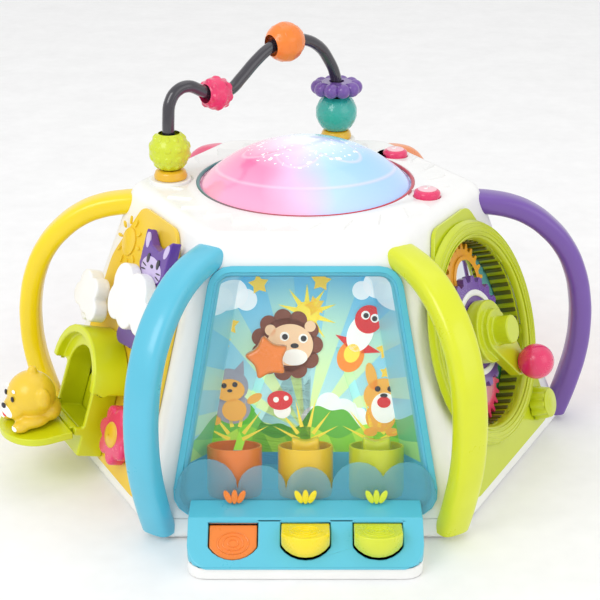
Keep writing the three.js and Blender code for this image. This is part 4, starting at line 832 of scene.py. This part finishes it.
amber_panel = plastic("amber_panel_plastic", (236, 196, 36), 0.32, 0.35, printed=sunny)
moulded("house_panel", amber_panel, "amber_shell", 0.0006)
parts = [disc(0.0095, -0.032, 0.156, 0.0031, 0.0045, ease=0.0005)]
for k in range(10):
    turn = k * math.pi / 5
    parts.append(disc(0.0011, -0.032 + 0.0145 * math.cos(turn), 0.156 + 0.0145 * math.sin(turn), 0.0031,
                      0.0043,
                      (2.6, 1), math.degrees(turn), 20))
finished(on_side(pooled(parts), house_side), "panel_sun", amber_panel, "casing", "amber_shell")

# Clouds. Soft-edged white ABS clouds stand in front of the panel on two screwed studs; the one over the
# roof is a push button.


def puffed(parts, voxel=0.0006, rounds=10):
    """Parts melted into one soft-edged moulding."""
    piece = pooled(parts)
    alone(piece)
    bpy.ops.object.transform_apply(location=True, rotation=True, scale=True)
    applied(piece, "REMESH", mode="VOXEL", voxel_size=voxel)
    applied(piece, "SMOOTH", factor=1.0, iterations=rounds)
    return piece


studs = [disc(0.0036, x, y, 0.0036, 0.014) for x, y in ((0.027, 0.125), (-0.003, 0.131))]
lobes = [disc(r / 1000, x / 1000, y / 1000, 0.0119, 0.0201) for x, y, r in
         ((5, 138, 13), (26, 136, 15), (2, 124, 12), (17, 124, 13), (38, 126, 12))]
finished(on_side(puffed(lobes + studs), house_side), "cloud_front", white, "casing", "white_shell",
         "cloud_cover", smooth=70)
lobes = [disc(r / 1000, x / 1000, y / 1000, 0.0139, 0.0241) for x, y, r in
         ((-34, 112, 10), (-45, 112, 8), (-39, 122, 9), (-27, 121, 8), (-23, 108, 8))]
lobes += [disc(0.0055, -0.0345, 0.1025, 0.0149, 0.0221), disc(0.005, -0.034, 0.114, -0.006, 0.0155)]
finished(on_side(puffed(lobes), house_side), "cloud_button", white, "chimney", "white_shell",
         "chimney_button", smooth=70)

# Peeking cat. A purple lever shaped as a cat pivots on a stud behind the clouds; its face is printed
# and its ears have paler linings.
cat_purple = plastic("cat_purple_plastic", (96, 52, 152), 0.3, 0.4)
cat = cast("cat_lever")
applied(cat, "REMESH", mode="VOXEL", voxel_size=0.0006)
applied(cat, "SMOOTH", factor=1.0, iterations=7)
finished(cat, "cat_lever_body", cat_purple, "cat", "purple_shell", "cat_lever", smooth=70)
lavender = plastic("lavender_print", (206, 190, 230), 0.36, 0.2)
ink = plastic("ink_print", (30, 24, 44), 0.3, 0.3)
face = [disc(0.0115, 0.0225, 0.1535, 0.0106, 0.01165, (1.25, 0.72), ease=0.0003),
        disc(0.0042, 0.0085, 0.1695, 0.0106, 0.01160, (0.62, 1.2), 18),
        disc(0.0042, 0.0365, 0.1700, 0.0106, 0.01160, (0.62, 1.2), -20)]
finished(on_side(pooled(face), house_side), "cat_face_print", lavender, "cat", "purple_shell")
eyes = [disc(0.0026, 0.0155, 0.1595, 0.0109, 0.0119, (0.8, 1.25), ease=0.0002),
        disc(0.0026, 0.0300, 0.1595, 0.0109, 0.0119, (0.8, 1.25), ease=0.0002),
        disc(0.0014, 0.0228, 0.1560, 0.0109, 0.0120, (1.4, 0.9), ease=0.0002)]
eyes += [disc(0.0005, 0.0228 + side * 0.0105, 0.1525 + rise, 0.0109, 0.0118, (6.5, 1), side * lean, 12)
         for side in (-1, 1) for rise, lean in ((0.0018, 8), (-0.0012, -8))]
finished(on_side(pooled(eyes), house_side), "cat_eyes_print", ink, "cat", "black_part")

# Kennel and drop-down tray. A lime ABS kennel with a thick rounded roof, its doorway open into the
# body, and a leaf hinged on a pin at the sill.
kennel_lime = plastic("kennel_lime_plastic", (212, 220, 14), 0.32, 0.35)
moulded("house", kennel_lime, "lime_shell", 0.0014, 3, crease=40)
moulded("door_tray", kennel_lime, "lime_shell", 0.0008, 3, crease=40)

# Puppy. A soft-looking yellow ABS puppy that lies on the tray, melted smoothly from its rounds, with a
# printed muzzle, eyes and brows.
tilt = math.atan(0.388 * math.cos(math.pi / 6))
leaf_frame = Matrix.Translation((-0.017, 0.0325, 0.0255)) @ Matrix.Rotation(tilt, 4, "X")


fur = plastic("puppy_yellow_plastic", (238, 200, 46), 0.36, 0.3)
rounds = ((15.8, 0, 23, 21, (1.05, 1, 1)), (8.8, 0, 16, 33, (1.2, 0.9, 0.8)),
          (10.8, 0, 11.5, 12, (1.3, 0.85, 0.9)),
          (4.9, -11, 6.6, 33, (1, 0.8, 1.3)), (4.9, 11, 6.6, 33, (1, 0.8, 1.3)),
          (4.9, -15.5, 25, 18, (0.7, 1.5, 1)),
          (4.9, 15.5, 25, 18, (0.7, 1.5, 1)), (3.8, 0, 39, 19, (0.9, 1.1, 0.9)),
          (8.6, -8, 8.3, 24, (1, 0.6, 1.4)),
          (8.6, 8, 8.3, 24, (1, 0.6, 1.4)))
puppy = puffed([ball(*values) for values in rounds], 0.0007, 6)
finished(on_side(puppy, house_side, leaf_frame), "puppy_body", fur, "dog_tray", "amber_shell", "puppy",
         smooth=80)
# The muzzle and the mouth use the card paints, so they carry the same faint painted glow.
muzzle = [ball(7.6, 0, 15.6, 34.6, (1.15, 0.78, 0.86)), ball(1.5, -6, 30.4, 34.6, (1.3, 0.7, 0.6)),
          ball(1.5, 6, 30.4, 34.6, (1.3, 0.7, 0.6)), ball(2.6, -11.4, 6.6, 38.0, (1.2, 0.7, 0.5)),
          ball(2.6, 11.4, 6.6, 38.0, (1.2, 0.7, 0.5))]
finished(on_side(pooled(muzzle), house_side, leaf_frame), "puppy_muzzle", card["card_white"], "dog_tray",
         "white_shell", smooth=80)
features = [ball(2.1, 0, 19.4, 40.3, (1.3, 0.85, 0.6)), ball(1.7, -6.4, 25.4, 36.0, (0.85, 1.2, 0.6)),
            ball(1.7, 6.4, 25.4, 36.0, (0.85, 1.2, 0.6))]
finished(on_side(pooled(features), house_side, leaf_frame), "puppy_eyes_nose", ink, "dog_tray",
         "black_part", smooth=80)
finished(on_side(ball(2.0, 0, 13.2, 40.3, (1.5, 0.8, 0.5)), house_side, leaf_frame), "puppy_mouth",
         card["card_red"],
         "dog_tray", "pink_shell", smooth=80)

# Flower knob. A pink seven-petalled knob with a domed hub that clicks as it turns on the panel.
def petalled(radius, petals, waist, low, high, ease, cone=1.0, between=8):
    """A solid flower outline between two heights, its petals swelling from a waist, with eased edges."""
    bpy.ops.object.select_all(action="DESELECT")
    bpy.ops.mesh.primitive_cylinder_add(vertices=petals * between, radius=radius, depth=high - low,
                                        location=(0, 0, (high + low) / 2))
    piece = bpy.context.object
    bpy.ops.object.transform_apply(location=True)
    bpy.ops.object.mode_set(mode="EDIT")
    for step in range(between):
        swell = abs(math.sin(math.pi * step / between))
        size = 1 - (waist / radius) * (1 - swell)
        choose(piece, lambda number, place: round(
            (math.atan2(place.y, place.x) / (2 * math.pi) % 1) * petals * between) % between == step)
        bpy.ops.transform.resize(value=(size, size, 1), center_override=(0, 0, 0))
    if cone != 1.0:
        choose(piece, lambda number, place: place.z > (low + high) / 2)
        bpy.ops.transform.resize(value=(cone, cone, 1), center_override=(0, 0, 0))
    bpy.ops.object.mode_set(mode="OBJECT")
    applied(piece, "BEVEL", width=ease, segments=4, limit_method="ANGLE", angle_limit=math.radians(62),
            use_clamp_overlap=False)
    return piece


knob = petalled(0.0199, 7, 0.0048, 0.0036, 0.0144, 0.0022)
knob.location = (0.033, 0.043, 0)
finished(on_side(knob, house_side), "flower_knob_petals", pink, "flower", "pink_shell", "flower_knob",
         smooth=50)
hub = turned([[0.0085, 0.0138], [0.0085, 0.0146], [0.0078, 0.0153], [0.006, 0.0158], [0.003, 0.0161],
              [0.0004, 0.0162]],
             64, (0.033, 0.043, 0))
finished(on_side(hub, house_side), "flower_knob_hub", amber, "flower", "amber_shell")

# Gear side. A lime panel with a deep ribbed ring; behind it three meshing wheels, a mirror, a rattle
# drum, the slotted crank and a ridged click dial.
gear_lime = plastic("gear_lime_plastic", (198, 210, 24), 0.32, 0.35)
moulded("gear_panel", gear_lime, "lime_shell", 0.0005, crease=28)
hoops = []
for radius, high in ((0.0645, 0.0079), (0.0672, 0.0083), (0.0699, 0.0084), (0.0724, 0.0078)):
    bpy.ops.object.select_all(action="DESELECT")
    bpy.ops.mesh.primitive_torus_add(major_radius=radius, minor_radius=0.0005, major_segments=120,
                                     minor_segments=8,
                                     location=(0, 0.103, high))
    hoops.append(bpy.context.object)
finished(on_side(pooled(hoops), gear_side), "ring_ridges", gear_lime, "casing", "lime_shell")
olive = plastic("olive_shadow_plastic", (96, 98, 30), 0.4, 0.2)
ribs = []
for k in range(60):
    turn = k * math.pi / 30
    bpy.ops.object.select_all(action="DESELECT")
    bpy.ops.mesh.primitive_cube_add(size=1, location=(0.0612 * math.cos(turn),
                                                      0.103 + 0.0612 * math.sin(turn), -0.0055),
                                    rotation=(0, 0, turn), scale=(0.0012, 0.0030, 0.0128))
    ribs.append(bpy.context.object)
rib_ring = pooled(ribs)
alone(rib_ring)
bpy.ops.object.transform_apply(location=True, rotation=True, scale=True)
applied(rib_ring, "BEVEL", width=0.0004, segments=2)
finished(on_side(rib_ring, gear_side), "well_ribs", olive, "casing", "black_part")


def meadow(place, paint):
    wave = (place.along((600, 340, 0)) * 0.02 + place.noise(25, 1) * 3).maths("SINE") > 0.2
    return wave.blend(paint, tone(34, 132, 74))


plate_teal = plastic("plate_teal_plastic", (104, 178, 178), 0.36, 0.2, printed=meadow)
moulded("gear_backplate", plate_teal, "teal_shell", 0.0004)
gear_amber = plastic("gear_amber_plastic", (240, 168, 38), 0.3, 0.35)
moulded("gear_mirror", gear_amber, "amber_shell", 0.0003)
moulded("gear_rattle", pink, "pink_shell", 0.0003)
moulded("gear_centre", purple, "purple_shell", 0.0004)
mirror_x, mirror_y = 0.03425 * math.cos(math.radians(70)), 0.103 + 0.03425 * math.sin(math.radians(70))
rattle_x, rattle_y = 0.03425 * math.cos(math.radians(266)), 0.103 + 0.03425 * math.sin(math.radians(266))
mirror_glass = plastic("mirror_foil", (232, 236, 240), 0.07, 0.0, 0.000005, Metallic=1.0)
glass = turned([[0.0148, -0.0046], [0.0148, -0.0040], [0.0143, -0.0037], [0.0004, -0.0037]], 72,
               (mirror_x, mirror_y, 0))
finished(on_side(glass, gear_side), "mirror_disc", mirror_glass, "mirror_gear", "steel_pin")
pane = turned([[0.0150, -0.0046], [0.0150, -0.0041], [0.0135, -0.0037], [0.0004, -0.0036]], 72,
              (rattle_x, rattle_y, 0))
finished(on_side(pane, gear_side), "rattle_pane",
         plastic("rattle_pane_clear", (250, 190, 205), 0.1, 0.5, Alpha=0.5),
         "rattle_gear", "pink_shell")
shot = [ball(1.5, rattle_x * 1000 + r * math.cos(a), rattle_y * 1000 + r * math.sin(a), -4.6, (1, 1, 0.7))
        for r, a in ((0, 0), (6, 0.4), (7, 1.9), (6, 3.3), (8, 4.4), (6, 5.4), (11, 1.1), (11, 2.7),
                     (11, 5.9))]
finished(on_side(pooled(shot), gear_side), "rattle_beads", amber, "rattle_gear", "amber_shell", smooth=80)
white_ring = turned([[0.0245, 0.0006], [0.0285, 0.0006], [0.0285, 0.0014], [0.0278, 0.0018],
                     [0.0252, 0.0018],
                     [0.0245, 0.0014], [0.0245, 0.0006]], 96, (0, 0.103, 0))
finished(on_side(white_ring, gear_side), "centre_wheel_ring", white, "crank_train", "white_shell")
moulded("crank", gear_lime, "lime_shell", 0.0012, 3, crease=40)
reach = 0.0375
knob_x, knob_y = reach * math.cos(math.radians(-57)), 0.103 + reach * math.sin(math.radians(-57))
grip = turned([[0.0034, 0.0157], [0.0062, 0.0157], [0.0074, 0.0168]] +
              [[0.0119 * math.cos(t), 0.0263 + 0.0119 * math.sin(t)] for t in
               [-0.9 + k * (math.pi / 2 + 0.9) / 20 for k in range(20)]] + [[0.0004, 0.0382]], 72,
               (knob_x, knob_y, 0))
finished(on_side(grip, gear_side), "crank_ball", pink, "crank_grip", "pink_shell", "crank_knob", smooth=50)
dial = petalled(0.0124, 10, 0.0018, 0.0037, 0.0144, 0.0012, 0.86)
dial.location = (0.050, 0.029, 0)
finished(on_side(dial, gear_side), "click_dial_flutes", gear_lime, "click_dial", "lime_shell", "ridge_dial",
         smooth=50)
for step, radius in enumerate((0.0098, 0.0068, 0.0038)):
    ring = turned([[radius, 0.0142], [radius, 0.0148 + step * 0.0004],
                   [radius - 0.0009, 0.0151 + step * 0.0004],
                   [0.0004, 0.0151 + step * 0.0004]], 64, (0.050, 0.029, 0))
    finished(on_side(ring, gear_side), "click_dial_step_" + str(step), gear_lime, "click_dial",
             "lime_shell")

# Right rear side. An orange panel with a round stage and a big yellow flower dial.
moulded("right_rear_panel", orange, "orange_shell", 0.0006)
petals = petalled(0.0289, 6, 0.0072, 0.0067, 0.0153, 0.0022)
petals.location = (0, 0.092, 0)
finished(on_side(petals, right_rear_side), "turn_dial_petals", star_paints["yellow"], "rear_dial",
         "yellow_shell", "turn_dial", smooth=50)
boss = turned([[0.0090, 0.0148], [0.0090, 0.0238], [0.0083, 0.0248], [0.0065, 0.0253], [0.0004, 0.0253]],
              72, (0, 0.092, 0))
finished(on_side(boss, right_rear_side), "turn_dial_boss", pink, "rear_dial", "pink_shell")

# Rear side. A blue panel with an upright slot and an orange flower slider.
moulded("rear_panel", blue, "blue_shell", 0.0006)
moulded("slide_knob", orange, "orange_shell", 0.0010, 3, crease=40)

# Left rear side. A purple panel with a window for a yellow fluted drum on a cross pin.
moulded("left_rear_panel", purple, "purple_shell", 0.0006)
moulded("spin_drum", star_paints["yellow"], "yellow_shell", 0.0010, 3, crease=30)

# Studio. A pale seamless floor, soft panels of light from the left, right and above, and the camera a
# little above the deck.
bpy.ops.object.select_all(action="DESELECT")
bpy.ops.mesh.primitive_plane_add(size=12, location=(0, 0, -0.0003))
floor = bpy.context.object
floor.name = "studio_floor"
floor_paint = plastic("studio_floor_paint", (246, 246, 246), 0.6, 0.0)
floor.data.materials.append(floor_paint)
world = bpy.data.worlds.new("studio_world")
world.use_nodes = True
world.node_tree.nodes["Background"].inputs["Color"].default_value = (1, 1, 1, 1)
world.node_tree.nodes["Background"].inputs["Strength"].default_value = 0.9
bpy.context.scene.world = world
for name, place, size, power in (("key", (-0.9, -1.1, 1.3), 0.9, 9), ("fill", (1.2, -0.9, 0.8), 1.1, 3),
                                 ("top", (0.1, 0.3, 1.6), 1.2, 2)):
    bpy.ops.object.light_add(type="AREA", location=place)
    panel = bpy.context.object
    panel.name = name + "_light"
    panel.data.size = size
    panel.data.energy = power
    panel.rotation_euler = (Vector((0, 0, 0.1)) - Vector(place)).to_track_quat("-Z", "Y").to_euler()
bpy.context.scene.view_settings.view_transform = "Standard"
eye = Vector((0, -0.85025, 0.46348))
bpy.ops.object.camera_add(location=eye)
camera = bpy.context.object
camera.name = "studio_camera"
camera.rotation_euler = (Vector((0, 0, 0.0923)) - eye).to_track_quat("-Z", "Y").to_euler()
camera.data.lens = 78.25
camera.data.sensor_width = 36
camera.data.shift_x = -0.00917
bpy.context.scene.camera = camera
